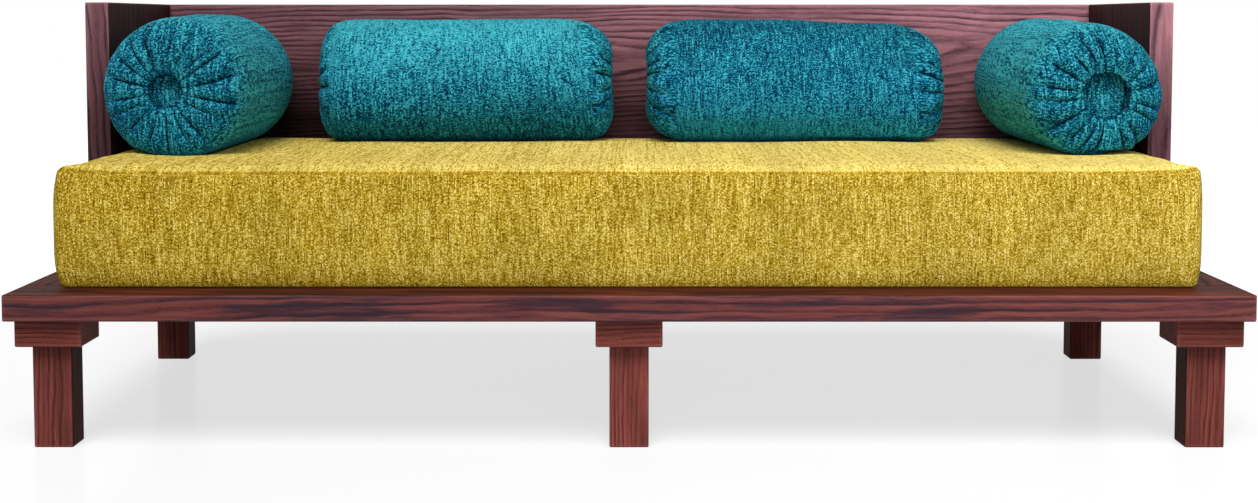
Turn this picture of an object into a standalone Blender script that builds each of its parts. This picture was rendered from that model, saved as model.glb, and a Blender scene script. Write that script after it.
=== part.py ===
"""A low three-seater sofa: a stained ash platform on six legs, arm boards and a back panel,
one long mattress and four gathered bolsters. Metres, +Z up, the front faces -Y, the origin is on
the floor under the middle of the platform."""

import math

import bmesh
import bpy
import numpy as np
from mathutils import Vector

# Driving dimensions of the frame
PLATFORM_LENGTH = 2.040
PLATFORM_DEPTH = 1.000
PLATFORM_TOP = 0.260
BOARD_THICKNESS = 0.044
RAIL_WIDTH = 0.118
UPRIGHT_INSET = 0.020
UPRIGHT_TOP = 0.738
ARM_LENGTH = 0.4845
LEG_WIDTH = 0.065
LEG_OUTER_FACE = 0.984
LEG_FRONT_INSET = 0.0425
BLOCK_WIDTH = 0.110
BLOCK_HEIGHT = 0.045
SLATS_PER_BAY = 5
SLAT_WIDTH = 0.100
SLAT_THICKNESS = 0.018
REBATE_WIDTH = 0.018
TENON_LENGTH = 0.018
TENON_WIDTH = 0.060
TENON_THICKNESS = 0.010
TENON_HEIGHT = 0.0125
EDGE_EASE = 0.0025
EDGE_STEPS = 2
SLAT_EASE = 0.0015
SLAT_STEPS = 1

# Driving dimensions of the hardware
STUD_RADIUS = 0.005
STUD_IN_LEG = 0.060
STUD_IN_RAIL = 0.025
SCREW_LENGTH = 0.090
SCREW_RADIUS = 0.0035
SCREW_HEAD_RADIUS = 0.0075
SCREW_HEAD_HEIGHT = 0.0045
SCREW_TIP = 0.008
ARM_SCREW_HEIGHTS = {"upper": 0.620, "lower": 0.380}
ARM_FOOT_SCREW_PLACES = {"front": 0.050, "back": 0.330}
BACK_SCREW_PLACES = {"left": -0.620, "centre": 0.0, "right": 0.620}

# Driving dimensions of the mattress
MATTRESS_LENGTH = 1.890
MATTRESS_DEPTH = 0.840
MATTRESS_THICKNESS = 0.195
MATTRESS_EDGE = 0.026
MATTRESS_BACK_GAP = 0.005
MATTRESS_CROWN = 0.009
CROWN_FLATNESS = 8
MATTRESS_SWELL = 0.005
BACK_DENT = 0.005
END_DENT = 0.003
DENT_REACH = 0.085
DENT_FADE = 0.040
COVER_THICKNESS = 0.004
FOAM_CLEARANCE = 0.0015
ZIP_LENGTH = 1.600
ZIP_WIDTH = 0.020
ZIP_HEIGHT = 0.315
ZIP_THICKNESS = 0.0014
ZIP_RECESS = 0.0022
CHAIN_WIDTH = 0.005
SLIDER_LENGTH = 0.011
SLIDER_WIDTH = 0.009
SLIDER_HEIGHT = 0.0026
SLIDER_EASE = 0.0006
PULL_LENGTH = 0.024
PULL_WIDTH = 0.0055
PULL_THICKNESS = 0.0013

# Driving dimensions of the bolsters
BOLSTER_LENGTH = 0.592
BOLSTER_RADIUS = 0.1245
BOLSTER_BOTTOM = 0.4597
BOLSTER_GAP = 0.003
ARM_GAPS = {"left": 0.011, "right": 0.003}
BACK_BOLSTER_PLACE = 0.331
SHOULDER_LENGTH = 0.095
END_DISH = 0.012
DISH_POWER = 3
GATHERS = 18
GATHER_DEPTH = 0.007
HEM_THICKNESS = 0.006
SLEEVE_THICKNESS = 0.011
INSERT_CLEARANCE = 0.0012
WIDE_OPENING = 0.040
NARROW_OPENING = 0.029
DOME_SHARE = 0.9
INSERT_SIDES = 16
SHOULDER_POINTS = 6
LINING_POINTS = 4

# Clearance between pieces that touch, and how finely a turned piece is made
GAP = 0.0003
ROUND_SIDES = 10
SHARP_ANGLE = math.radians(35)
MERGE_DISTANCE = 1e-6

# Places worked out from the driving dimensions
HALF_LENGTH = PLATFORM_LENGTH / 2
HALF_DEPTH = PLATFORM_DEPTH / 2
PLATFORM_UNDER = PLATFORM_TOP - BOARD_THICKNESS
RAIL_INNER = HALF_DEPTH - RAIL_WIDTH
END_INNER = HALF_LENGTH - RAIL_WIDTH
LEG_TOP = PLATFORM_UNDER - BLOCK_HEIGHT
LEG_X = LEG_OUTER_FACE - LEG_WIDTH / 2
LEG_Y = HALF_DEPTH - LEG_FRONT_INSET - LEG_WIDTH / 2
UPRIGHT_OUTER = HALF_LENGTH - UPRIGHT_INSET
ARM_INNER = UPRIGHT_OUTER - BOARD_THICKNESS
ARM_X = UPRIGHT_OUTER - BOARD_THICKNESS / 2
BACK_REAR = HALF_DEPTH - UPRIGHT_INSET
BACK_FACE = BACK_REAR - BOARD_THICKNESS
BACK_Y = BACK_REAR - BOARD_THICKNESS / 2
UPRIGHT_FOOT = PLATFORM_TOP + GAP
MATTRESS_REAR = BACK_FACE - MATTRESS_BACK_GAP
MATTRESS_Y = MATTRESS_REAR - MATTRESS_DEPTH / 2
MATTRESS_Z = PLATFORM_TOP + GAP + MATTRESS_THICKNESS / 2
BOLSTER_Z = BOLSTER_BOTTOM + BOLSTER_RADIUS
BACK_BOLSTER_Y = BACK_FACE - BOLSTER_GAP - BOLSTER_RADIUS
END_BOLSTER_X = ARM_INNER - BOLSTER_GAP - BOLSTER_RADIUS
END_BOLSTER_PLACES = {side: ARM_INNER - gap - BOLSTER_RADIUS for side, gap in ARM_GAPS.items()}
END_BOLSTER_Y = BACK_FACE - BOLSTER_GAP - BOLSTER_LENGTH / 2
END_OPENINGS = {"left": NARROW_OPENING, "right": WIDE_OPENING}

SIDES = {"left": -1, "right": 1}
LEG_ROWS = {"front": -LEG_Y, "back": LEG_Y}
LEG_COLUMNS = {"left": -LEG_X, "middle": 0.0, "right": LEG_X}
CROSS_RAILS = {
    "left": -HALF_LENGTH + RAIL_WIDTH / 2,
    "centre": 0.0,
    "right": HALF_LENGTH - RAIL_WIDTH / 2,
}
BAYS = {"left": (-END_INNER, -RAIL_WIDTH / 2), "right": (RAIL_WIDTH / 2, END_INNER)}
TENON_LOW = PLATFORM_UNDER + TENON_HEIGHT - TENON_THICKNESS / 2

# Colour, roughness and metallic of each finish
FINISHES = {
    "stained_ash": ((0.128, 0.030, 0.030), 0.42, 0.0),
    "stained_ash_end": ((0.140, 0.032, 0.020), 0.45, 0.0),
    "slat_wood": ((0.420, 0.270, 0.140), 0.65, 0.0),
    "zinc_steel": ((0.560, 0.560, 0.540), 0.35, 1.0),
    "mustard_chenille": ((0.480, 0.330, 0.022), 0.95, 0.0),
    "teal_chenille": ((0.010, 0.220, 0.280), 0.95, 0.0),
    "seat_foam": ((0.760, 0.700, 0.520), 0.98, 0.0),
    "brass_zip": ((0.520, 0.370, 0.120), 0.35, 1.0),
}


def make_material(name, colour, roughness, metallic):
    """One Principled finish."""
    material = bpy.data.materials.new(name)
    material.use_nodes = True
    shader = material.node_tree.nodes["Principled BSDF"]
    shader.inputs["Base Color"].default_value = (*colour, 1.0)
    shader.inputs["Roughness"].default_value = roughness
    shader.inputs["Metallic"].default_value = metallic
    return material


def make_collection(name):
    """A collection linked to the scene."""
    collection = bpy.data.collections.new(name)
    bpy.context.scene.collection.children.link(collection)
    return collection


for old in list(bpy.data.objects):
    bpy.data.objects.remove(old, do_unlink=True)

SOFA = make_collection("three_seater_sofa")
CUTTERS = make_collection("cutters")
CUTTERS.hide_render = True
MATERIALS = {name: make_material(name, *finish) for name, finish in FINISHES.items()}


def make_empty(name, location, turn=0.0, parent=None):
    """A reference point that carries a group of pieces."""
    empty = bpy.data.objects.new(name, None)
    empty.location = Vector(location) - (parent.location if parent else Vector())
    empty.rotation_euler = (0.0, 0.0, turn)
    empty.parent = parent
    SOFA.objects.link(empty)
    return empty


def place_piece(name, mesh, finish, location=(0, 0, 0), rotation=(0, 0, 0), parent=None):
    """An object of the sofa with its finish, placed under its parent."""
    piece = bpy.data.objects.new(name, mesh)
    piece.location = location
    piece.rotation_euler = rotation
    piece.parent = parent
    mesh.materials.append(MATERIALS[finish])
    SOFA.objects.link(piece)
    return piece


def place_cutter(name, mesh, location=(0, 0, 0), rotation=(0, 0, 0), parent=None):
    """A hidden object that a piece is cut by or joined with."""
    cutter = bpy.data.objects.new(name, mesh)
    cutter.location = location
    cutter.rotation_euler = rotation
    cutter.parent = parent
    cutter.hide_render = True
    cutter.display_type = "WIRE"
    CUTTERS.objects.link(cutter)
    return cutter


def combine(piece, other, operation="DIFFERENCE"):
    """Cuts the other object out of a piece, or joins it on."""
    boolean = piece.modifiers.new(f"{operation.lower()}_{other.name}", "BOOLEAN")
    boolean.object = other
    boolean.operation = operation
    boolean.solver = "EXACT"


def box_mesh(name, size):
    """A box of the given size round its own centre."""
    bm = bmesh.new()
    bmesh.ops.create_cube(bm, size=1.0)
    bmesh.ops.scale(bm, vec=size, verts=bm.verts)
    mesh = bpy.data.meshes.new(name)
    bm.to_mesh(mesh)
    bm.free()
    return mesh


def board(name, low, high, finish, ease=EDGE_EASE, steps=EDGE_STEPS, parent=None):
    """A plank between two corners, its edges eased."""
    low, high = Vector(low), Vector(high)
    piece = place_piece(name, box_mesh(name, high - low), finish, (low + high) / 2, parent=parent)
    bevel = piece.modifiers.new("eased_edges", "BEVEL")
    bevel.width = ease
    bevel.segments = steps
    return piece


def box_cutter(name, low, high):
    """A box between two corners, for a mortise, rebate, slot or tenon."""
    low, high = Vector(low), Vector(high)
    return place_cutter(name, box_mesh(name, high - low), (low + high) / 2)


def rod_mesh(name, radius, length):
    """A rod along Z round its own centre."""
    bm = bmesh.new()
    bmesh.ops.create_cone(
        bm, cap_ends=True, segments=ROUND_SIDES, radius1=radius, radius2=radius, depth=length
    )
    mesh = bpy.data.meshes.new(name)
    bm.to_mesh(mesh)
    bm.free()
    return mesh


def turned_mesh(name, profile, sides):
    """A profile of (radius, height) points, listed top to bottom, turned about Z."""
    bm = bmesh.new()
    points = [bm.verts.new((radius, 0.0, height)) for radius, height in profile]
    for first, second in zip(points, points[1:]):
        bm.edges.new((first, second))
    bmesh.ops.spin(
        bm, geom=bm.verts[:] + bm.edges[:], cent=(0, 0, 0), axis=(0, 0, 1),
        angle=math.tau, steps=sides, use_merge=True,
    )
    bmesh.ops.remove_doubles(bm, verts=bm.verts, dist=MERGE_DISTANCE)
    bmesh.ops.recalc_face_normals(bm, faces=bm.faces)
    mesh = bpy.data.meshes.new(name)
    bm.to_mesh(mesh)
    bm.free()
    mesh.shade_smooth()
    mesh.set_sharp_from_angle(angle=SHARP_ANGLE)
    return mesh


def screw_profile(clearance=0.0):
    """A countersunk wood screw hanging from its head, grown by a clearance for its hole."""
    head = SCREW_HEAD_RADIUS + clearance
    shank = SCREW_RADIUS + clearance
    return [
        (0.0, clearance),
        (head, clearance),
        (shank, -SCREW_HEAD_HEIGHT),
        (shank, SCREW_TIP - SCREW_LENGTH),
        (0.0, -SCREW_LENGTH - 2 * clearance),
    ]


def add_screw(name, head, rotation, pieces, parent):
    """A screw whose head is sunk flush, and its hole in each piece that it passes."""
    mesh = turned_mesh(name, screw_profile(), ROUND_SIDES)
    place_piece(name, mesh, "zinc_steel", head, rotation, parent)
    hole_mesh = turned_mesh(f"{name}_hole", screw_profile(GAP), ROUND_SIDES)
    hole = place_cutter(f"{name}_hole", hole_mesh, head, rotation, parent)
    for piece in pieces:
        combine(piece, hole)


# The frame: rails, slats, uprights and legs
frame = make_empty("frame", (0, 0, 0))


def make_long_rail(name, side):
    """The front or the back rail, with rebates for the slats and mortises for the cross rails."""
    outer, inner = side * HALF_DEPTH, side * RAIL_INNER
    low_y, high_y = sorted((outer, inner))
    rail = board(
        name, (-HALF_LENGTH, low_y, PLATFORM_UNDER), (HALF_LENGTH, high_y, PLATFORM_TOP),
        "stained_ash", parent=frame,
    )
    rebate_y = sorted((inner - side * RAIL_WIDTH, inner + side * REBATE_WIDTH))
    rebate_floor = PLATFORM_TOP - SLAT_THICKNESS - GAP
    for bay, (start, end) in BAYS.items():
        cutter = box_cutter(
            f"{name}_rebate_{bay}", (start, rebate_y[0], rebate_floor),
            (end, rebate_y[1], PLATFORM_TOP + RAIL_WIDTH),
        )
        combine(rail, cutter)
    mortise_y = sorted((inner - side * RAIL_WIDTH, inner + side * (TENON_LENGTH + GAP)))
    for place, x in CROSS_RAILS.items():
        cutter = box_cutter(
            f"{name}_mortise_{place}",
            (x - TENON_WIDTH / 2 - GAP, mortise_y[0], TENON_LOW - GAP),
            (x + TENON_WIDTH / 2 + GAP, mortise_y[1], TENON_LOW + TENON_THICKNESS + GAP),
        )
        combine(rail, cutter)
    return rail


def make_cross_rail(name, x):
    """An end rail or the centre rail, with a stub tenon at each end."""
    reach = RAIL_INNER - GAP
    rail = board(
        name, (x - RAIL_WIDTH / 2, -reach, PLATFORM_UNDER), (x + RAIL_WIDTH / 2, reach, PLATFORM_TOP),
        "stained_ash", parent=frame,
    )
    tenon_reach = RAIL_INNER + TENON_LENGTH
    tenons = box_cutter(
        f"{name}_tenons", (x - TENON_WIDTH / 2, -tenon_reach, TENON_LOW),
        (x + TENON_WIDTH / 2, tenon_reach, TENON_LOW + TENON_THICKNESS),
    )
    combine(rail, tenons, "UNION")
    return rail


def make_slats():
    """Slats across each bay, evenly spaced, lying in the rebates."""
    reach = RAIL_INNER + REBATE_WIDTH - GAP
    number = 0
    for start, end in BAYS.values():
        space = (end - start - SLATS_PER_BAY * SLAT_WIDTH) / (SLATS_PER_BAY + 1)
        for place in range(SLATS_PER_BAY):
            number += 1
            left = start + space + place * (SLAT_WIDTH + space)
            board(
                f"slat_{number}", (left, -reach, PLATFORM_TOP - SLAT_THICKNESS),
                (left + SLAT_WIDTH, reach, PLATFORM_TOP), "slat_wood", SLAT_EASE, SLAT_STEPS, frame,
            )


def make_leg(name, x, y, rail):
    """A leg post, its cap block, and the stud that holds both under a rail."""
    half = LEG_WIDTH / 2
    leg = board(
        f"leg_{name}", (x - half, y - half, 0), (x + half, y + half, LEG_TOP - GAP),
        "stained_ash_end", parent=frame,
    )
    half = BLOCK_WIDTH / 2
    block = board(
        f"leg_block_{name}", (x - half, y - half, LEG_TOP), (x + half, y + half, PLATFORM_UNDER - GAP),
        "stained_ash_end", parent=frame,
    )
    low, high = LEG_TOP - STUD_IN_LEG, PLATFORM_UNDER + STUD_IN_RAIL
    centre = (x, y, (low + high) / 2)
    stud = rod_mesh(f"leg_stud_{name}", STUD_RADIUS, high - low)
    place_piece(f"leg_stud_{name}", stud, "zinc_steel", centre, parent=frame)
    hole = rod_mesh(f"stud_hole_{name}", STUD_RADIUS + 2 * GAP, high - low + 2 * GAP)
    cutter = place_cutter(f"stud_hole_{name}", hole, centre)
    for piece in (leg, block, rail):
        combine(piece, cutter)


long_rails = {
    "front": make_long_rail("front_rail", -1),
    "back": make_long_rail("back_rail", 1),
}
end_rails = {side: make_cross_rail(f"end_rail_{side}", CROSS_RAILS[side]) for side in SIDES}
make_cross_rail("centre_rail", CROSS_RAILS["centre"])
make_slats()
for row, leg_y in LEG_ROWS.items():
    for column, leg_x in LEG_COLUMNS.items():
        make_leg(f"{row}_{column}", leg_x, leg_y, long_rails[row])

back_panel = board(
    "back_panel", (-UPRIGHT_OUTER, BACK_FACE, UPRIGHT_FOOT), (UPRIGHT_OUTER, BACK_REAR, UPRIGHT_TOP),
    "stained_ash", parent=frame,
)
for place, screw_x in BACK_SCREW_PLACES.items():
    add_screw(
        f"back_panel_screw_{place}", (screw_x, BACK_Y, PLATFORM_UNDER), (math.pi, 0, 0),
        (long_rails["back"], back_panel), frame,
    )

for side, sign in SIDES.items():
    low_x, high_x = sorted((sign * ARM_INNER, sign * UPRIGHT_OUTER))
    arm = board(
        f"arm_{side}", (low_x, BACK_FACE - ARM_LENGTH, UPRIGHT_FOOT),
        (high_x, BACK_FACE - GAP, UPRIGHT_TOP), "stained_ash", parent=frame,
    )
    for place, height in ARM_SCREW_HEIGHTS.items():
        add_screw(
            f"arm_screw_{side}_{place}", (sign * ARM_X, BACK_REAR, height), (-math.pi / 2, 0, 0),
            (back_panel, arm), frame,
        )
    for place, screw_y in ARM_FOOT_SCREW_PLACES.items():
        add_screw(
            f"arm_foot_screw_{side}_{place}", (sign * ARM_X, screw_y, PLATFORM_UNDER), (math.pi, 0, 0),
            (end_rails[side], arm), frame,
        )


# The mattress: foam block, cover, zip and slider
def mattress_stations(half, spots, edge):
    """Where the skin's grid lines lie along one axis: the ends, the rounded edges and chosen spots."""
    lines = [half - edge, *spots]
    return sorted({round(sign * line, 6) for line in lines for sign in (-1, 1)})


def gridded_box(half, stations):
    """A box cut by planes into a grid, as an editable mesh."""
    bm = bmesh.new()
    bmesh.ops.create_cube(bm, size=2.0)
    bmesh.ops.scale(bm, vec=half, verts=bm.verts)
    for axis, lines in enumerate(stations):
        normal = Vector((axis == 0, axis == 1, axis == 2))
        for line in lines:
            everything = bm.verts[:] + bm.edges[:] + bm.faces[:]
            bmesh.ops.bisect_plane(bm, geom=everything, plane_co=normal * line, plane_no=normal)
    return bm


def inside(distance):
    """1 well inside a boundary, 0 well outside it, with a soft step between."""
    return 0.5 - 0.5 * np.tanh(distance / DENT_FADE)


def bolster_dents(x, y):
    """How far the bolsters press the mattress top down, worked out at each point."""
    half = BOLSTER_LENGTH / 2
    along_back = np.exp(-((y + MATTRESS_Y - BACK_BOLSTER_Y) / DENT_REACH) ** 2)
    back_span = inside(np.abs(np.abs(x) - BACK_BOLSTER_PLACE) - half)
    along_ends = np.exp(-((np.abs(x) - END_BOLSTER_X) / DENT_REACH) ** 2)
    end_span = inside(END_BOLSTER_Y - half - y - MATTRESS_Y)
    return np.maximum(BACK_DENT * along_back * back_span, END_DENT * along_ends * end_span)


def padded_points(points, half, edge, inset):
    """A box's points moved on to the padded form: rounded edges, a crowned top with dents where
    the bolsters lie, and a front and ends that swell at mid height."""
    half = np.array(half)
    core = np.clip(points, edge - half, half - edge)
    outward = points - core
    length = np.linalg.norm(outward, axis=1, keepdims=True)
    rounded = core + edge * outward / np.maximum(length, MERGE_DISTANCE)
    x, y, z = rounded.T
    across, deep, high = (rounded / half).T
    belly = MATTRESS_SWELL * (1 - high**2)
    x = x + belly * across**3 * (1 - deep**4)
    y = y + belly * np.minimum(deep, 0) ** 3 * (1 - across**4)
    crown = MATTRESS_CROWN * (1 - across**CROWN_FLATNESS) * (1 - deep**CROWN_FLATNESS)
    lift = crown - bolster_dents(rounded[:, 0], rounded[:, 1])
    z = z + np.clip(high, 0, 1) * (lift * (1 - inset / MATTRESS_THICKNESS))
    return np.stack([x, y, z], axis=1)


def mattress_mesh(name, inset):
    """The mattress's skin, moved inwards by an even inset."""
    half = tuple(side / 2 - inset for side in (MATTRESS_LENGTH, MATTRESS_DEPTH, MATTRESS_THICKNESS))
    edge = MATTRESS_EDGE - inset
    beside_ends = END_BOLSTER_X - BOLSTER_RADIUS
    reaches = (BOLSTER_LENGTH / 2, BOLSTER_LENGTH / 2 - SHOULDER_LENGTH)
    x_spots = [BACK_BOLSTER_PLACE + sign * reach for reach in reaches for sign in SIDES.values()]
    x_spots += [BACK_BOLSTER_PLACE, beside_ends, (beside_ends + END_BOLSTER_X) / 2, END_BOLSTER_X]
    y_spots = [END_BOLSTER_Y - reach - MATTRESS_Y for reach in reaches]
    y_spots += [BACK_BOLSTER_Y - MATTRESS_Y]
    spots = (x_spots, y_spots, [0.0])
    stations = [mattress_stations(side, spot, edge) for side, spot in zip(half, spots)]
    bm = gridded_box(half, stations)
    mesh = bpy.data.meshes.new(name)
    bm.to_mesh(mesh)
    bm.free()
    points = np.empty(len(mesh.vertices) * 3)
    mesh.vertices.foreach_get("co", points)
    shaped = padded_points(points.reshape(-1, 3), half, edge, inset)
    mesh.vertices.foreach_set("co", shaped.ravel())
    mesh.shade_smooth()
    return mesh


mattress = make_empty("mattress", (0, MATTRESS_Y, MATTRESS_Z), parent=frame)
cover_skin = mattress_mesh("mattress_cover", 0.0)
cover = place_piece("mattress_cover", cover_skin, "mustard_chenille", parent=mattress)
hollow_skin = mattress_mesh("mattress_hollow", COVER_THICKNESS)
hollow = place_cutter("mattress_hollow", hollow_skin, parent=mattress)
foam_skin = mattress_mesh("mattress_foam", COVER_THICKNESS + FOAM_CLEARANCE)
place_piece("mattress_foam", foam_skin, "seat_foam", parent=mattress)
slot = box_cutter(
    "zip_slot", (-ZIP_LENGTH / 2, MATTRESS_REAR - MATTRESS_EDGE / 2, ZIP_HEIGHT - ZIP_WIDTH / 2),
    (ZIP_LENGTH / 2, MATTRESS_REAR + MATTRESS_EDGE, ZIP_HEIGHT + ZIP_WIDTH / 2),
)
combine(cover, hollow)
combine(cover, slot)

zip_face = MATTRESS_REAR - ZIP_RECESS
zip_tape = place_piece(
    "mattress_zip",
    box_mesh("mattress_zip", (ZIP_LENGTH - 2 * GAP, ZIP_THICKNESS, ZIP_WIDTH - 2 * GAP)),
    "mustard_chenille",
    (0, zip_face - ZIP_THICKNESS / 2 - MATTRESS_Y, ZIP_HEIGHT - MATTRESS_Z),
    parent=mattress,
)
chain_end = ZIP_LENGTH / 2 - ZIP_WIDTH
chain_top = zip_face + ZIP_THICKNESS / 2
chain = box_cutter(
    "zip_chain", (-chain_end, zip_face - ZIP_THICKNESS / 2, ZIP_HEIGHT - CHAIN_WIDTH / 2),
    (chain_end, chain_top, ZIP_HEIGHT + CHAIN_WIDTH / 2),
)
combine(zip_tape, chain, "UNION")

slider_start = -ZIP_LENGTH / 2 + 2 * ZIP_WIDTH
slider_low = zip_face + GAP
slider_high = slider_low + SLIDER_HEIGHT
slider = board(
    "zip_slider",
    (slider_start - SLIDER_LENGTH / 2, slider_low, ZIP_HEIGHT - SLIDER_WIDTH / 2),
    (slider_start + SLIDER_LENGTH / 2, slider_high, ZIP_HEIGHT + SLIDER_WIDTH / 2),
    "brass_zip", SLIDER_EASE,
)
channel = box_cutter(
    "slider_channel",
    (slider_start - SLIDER_LENGTH, slider_low - SLIDER_HEIGHT, ZIP_HEIGHT - CHAIN_WIDTH / 2 - GAP),
    (slider_start + SLIDER_LENGTH, chain_top + GAP, ZIP_HEIGHT + CHAIN_WIDTH / 2 + GAP),
)
pull = box_cutter(
    "slider_pull",
    (slider_start, slider_high - PULL_THICKNESS, ZIP_HEIGHT - PULL_WIDTH / 2),
    (slider_start + PULL_LENGTH, slider_high + PULL_THICKNESS / 2, ZIP_HEIGHT + PULL_WIDTH / 2),
)
combine(slider, channel)
combine(slider, pull, "UNION")


# The bolsters: gathered covers over stuffed inner cushions
def shoulder_drop(reach, length):
    """Drop of a quarter ellipse over the share of the way from the opening to the straight side."""
    return length - length * np.sqrt(1 - np.clip(reach, 0, 1) ** 2)


# Stations of a cover's end, how far each lies below the ellipse's pole, and the height of that pole
END_STATIONS = np.sin(np.linspace(0, math.pi / 2, SHOULDER_POINTS))
END_DROPS = shoulder_drop(END_STATIONS, SHOULDER_LENGTH) + END_DISH * (1 - END_STATIONS) ** DISH_POWER
END_POLE = BOLSTER_LENGTH / 2 + END_DROPS.min()


def sleeve_profile(opening):
    """The outside of a cover from the opening of one end to the straight side, dished at the opening."""
    return list(zip(opening + (BOLSTER_RADIUS - opening) * END_STATIONS, END_POLE - END_DROPS))


def lining_height(reach):
    """Height of the inside of a cover, behind its gathers."""
    hem = END_DISH + HEM_THICKNESS
    return END_POLE - hem - shoulder_drop(reach, SHOULDER_LENGTH - hem)


def lining_profile(opening, wall):
    """The inside of a cover from the opening of one end to the straight side."""
    reach = np.sin(np.linspace(0, math.pi / 2, LINING_POINTS))
    return list(zip(opening + (BOLSTER_RADIUS - wall - opening) * reach, lining_height(reach)))


def gathered_mesh(name, opening):
    """A cover turned from a closed profile, its ends drawn into gathers between crests and valleys."""
    outside = sleeve_profile(opening)
    lining = lining_profile(opening, SLEEVE_THICKNESS)
    half_loop = lining[::-1] + outside
    loop = half_loop + [(radius, -height) for radius, height in half_loop[::-1]]
    bm = bmesh.new()
    points = [bm.verts.new((radius, 0.0, height)) for radius, height in loop]
    for first, second in zip(points, points[1:] + points[:1]):
        bm.edges.new((first, second))
    bmesh.ops.spin(
        bm, geom=bm.verts[:] + bm.edges[:], cent=(0, 0, 0), axis=(0, 0, 1),
        angle=math.tau, steps=2 * GATHERS, use_merge=True,
    )
    bmesh.ops.recalc_face_normals(bm, faces=bm.faces)
    mesh = bpy.data.meshes.new(name)
    bm.to_mesh(mesh)
    bm.free()
    coordinates = np.empty(len(mesh.vertices) * 3)
    mesh.vertices.foreach_get("co", coordinates)
    x, y, z = coordinates.reshape(-1, 3).T
    from_lip = np.hypot(x, y) - opening
    inner_reach = from_lip / (BOLSTER_RADIUS - SLEEVE_THICKNESS - opening)
    outer = np.abs(z) > lining_height(inner_reach) + HEM_THICKNESS / 2
    reach = np.clip(from_lip / (BOLSTER_RADIUS - opening), 0, 1)
    valley = (1 - np.cos(GATHERS * np.arctan2(y, x))) / 2
    drawn = GATHER_DEPTH * outer * valley * np.sin(math.pi * reach)
    z = z - np.sign(z) * drawn
    mesh.vertices.foreach_set("co", np.stack([x, y, z], axis=1).ravel())
    mesh.shade_smooth()
    return mesh


def insert_profile(opening):
    """The inner cushion: a domed end behind the opening, then the lining's form with clearance."""
    wall = SLEEVE_THICKNESS + INSERT_CLEARANCE
    lining = lining_profile(opening, wall)
    top = lining[0][1]
    upper = [(0.0, top + INSERT_CLEARANCE), (opening * DOME_SHARE, top - INSERT_CLEARANCE)]
    upper += [(radius, height - 2 * INSERT_CLEARANCE) for radius, height in lining[1:]]
    return upper + [(radius, -height) for radius, height in upper[::-1]]


def make_bolster(name, location, turn, opening):
    """One bolster lying on its side: cover and inner cushion on an empty at its middle."""
    centre = make_empty(f"bolster_{name}", location, turn)
    lying = (0, math.pi / 2, 0)
    place_piece(
        f"bolster_cover_{name}", gathered_mesh(f"bolster_cover_{name}", opening), "teal_chenille",
        rotation=lying, parent=centre,
    )
    place_piece(
        f"bolster_insert_{name}",
        turned_mesh(f"bolster_insert_{name}", insert_profile(opening), INSERT_SIDES),
        "teal_chenille", rotation=lying, parent=centre,
    )


for side, sign in SIDES.items():
    back_place = (sign * BACK_BOLSTER_PLACE, BACK_BOLSTER_Y, BOLSTER_Z)
    make_bolster(f"back_{side}", back_place, 0.0, NARROW_OPENING)
    end_place = (sign * END_BOLSTER_PLACES[side], END_BOLSTER_Y, BOLSTER_Z)
    make_bolster(f"end_{side}", end_place, math.pi / 2, END_OPENINGS[side])
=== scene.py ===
# %% [markdown]
# # A low three-seater sofa
#
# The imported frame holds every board, leg, screw and cushion of the sofa at its real size. This lesson
# dresses that frame: it gives the boards their stained ash, and it swaps the plain cushions for a padded
# mattress and four gathered bolsters. Everything is in metres, +Z is up, and the front faces -Y.

# %% Load the frame
import math

import bpy
import numpy as np
from mathutils import Euler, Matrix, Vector


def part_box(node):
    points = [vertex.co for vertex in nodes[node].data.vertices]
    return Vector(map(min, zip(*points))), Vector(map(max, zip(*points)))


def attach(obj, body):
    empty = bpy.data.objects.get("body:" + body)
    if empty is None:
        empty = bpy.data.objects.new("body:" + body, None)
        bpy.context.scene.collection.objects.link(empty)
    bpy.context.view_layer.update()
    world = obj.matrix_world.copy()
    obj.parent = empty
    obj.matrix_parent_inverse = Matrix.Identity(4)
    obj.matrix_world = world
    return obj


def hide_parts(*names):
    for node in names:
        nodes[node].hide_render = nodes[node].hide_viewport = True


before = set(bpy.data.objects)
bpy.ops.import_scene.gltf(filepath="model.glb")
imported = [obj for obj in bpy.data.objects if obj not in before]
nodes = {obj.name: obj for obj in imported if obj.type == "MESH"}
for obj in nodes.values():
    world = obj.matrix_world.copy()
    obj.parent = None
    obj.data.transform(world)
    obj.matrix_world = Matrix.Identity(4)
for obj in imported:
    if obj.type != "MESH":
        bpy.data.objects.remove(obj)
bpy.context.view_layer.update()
scene = bpy.context.scene

# %% [markdown]
# ## Camera
#
# The picture was taken from about seat-back height, a little under four metres away, with the lens tipped
# slightly down. The corners of the platform, the arms and the legs fix the eye and the focal length. The
# picture is cropped low, so its middle lies under the lens axis, and a vertical shift takes that up.

# %% Camera
IMAGE_WIDTH = 1258
IMAGE_HEIGHT = 503
FOCAL_PIXELS = 1962.46
LENS_AXIS_ROW = 157.76
EYE = (0.0024, -3.6624, 0.7047)
TIPPED_DOWN = math.radians(4.0)
TURNED_LEFT = math.radians(0.0444)
SENSOR_WIDTH = 36.0

lens = bpy.data.cameras.new("camera")
lens.sensor_width = SENSOR_WIDTH
lens.lens = FOCAL_PIXELS / IMAGE_WIDTH * SENSOR_WIDTH
lens.shift_y = (LENS_AXIS_ROW - IMAGE_HEIGHT / 2) / IMAGE_WIDTH
camera = bpy.data.objects.new("camera", lens)
camera.location = EYE
camera.rotation_euler = (math.pi / 2 - TIPPED_DOWN, 0.0, TURNED_LEFT)
scene.collection.objects.link(camera)
scene.camera = camera
scene.view_settings.view_transform = "Standard"
print("camera: lens", round(lens.lens, 2), "mm, shift", round(lens.shift_y, 4))

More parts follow.
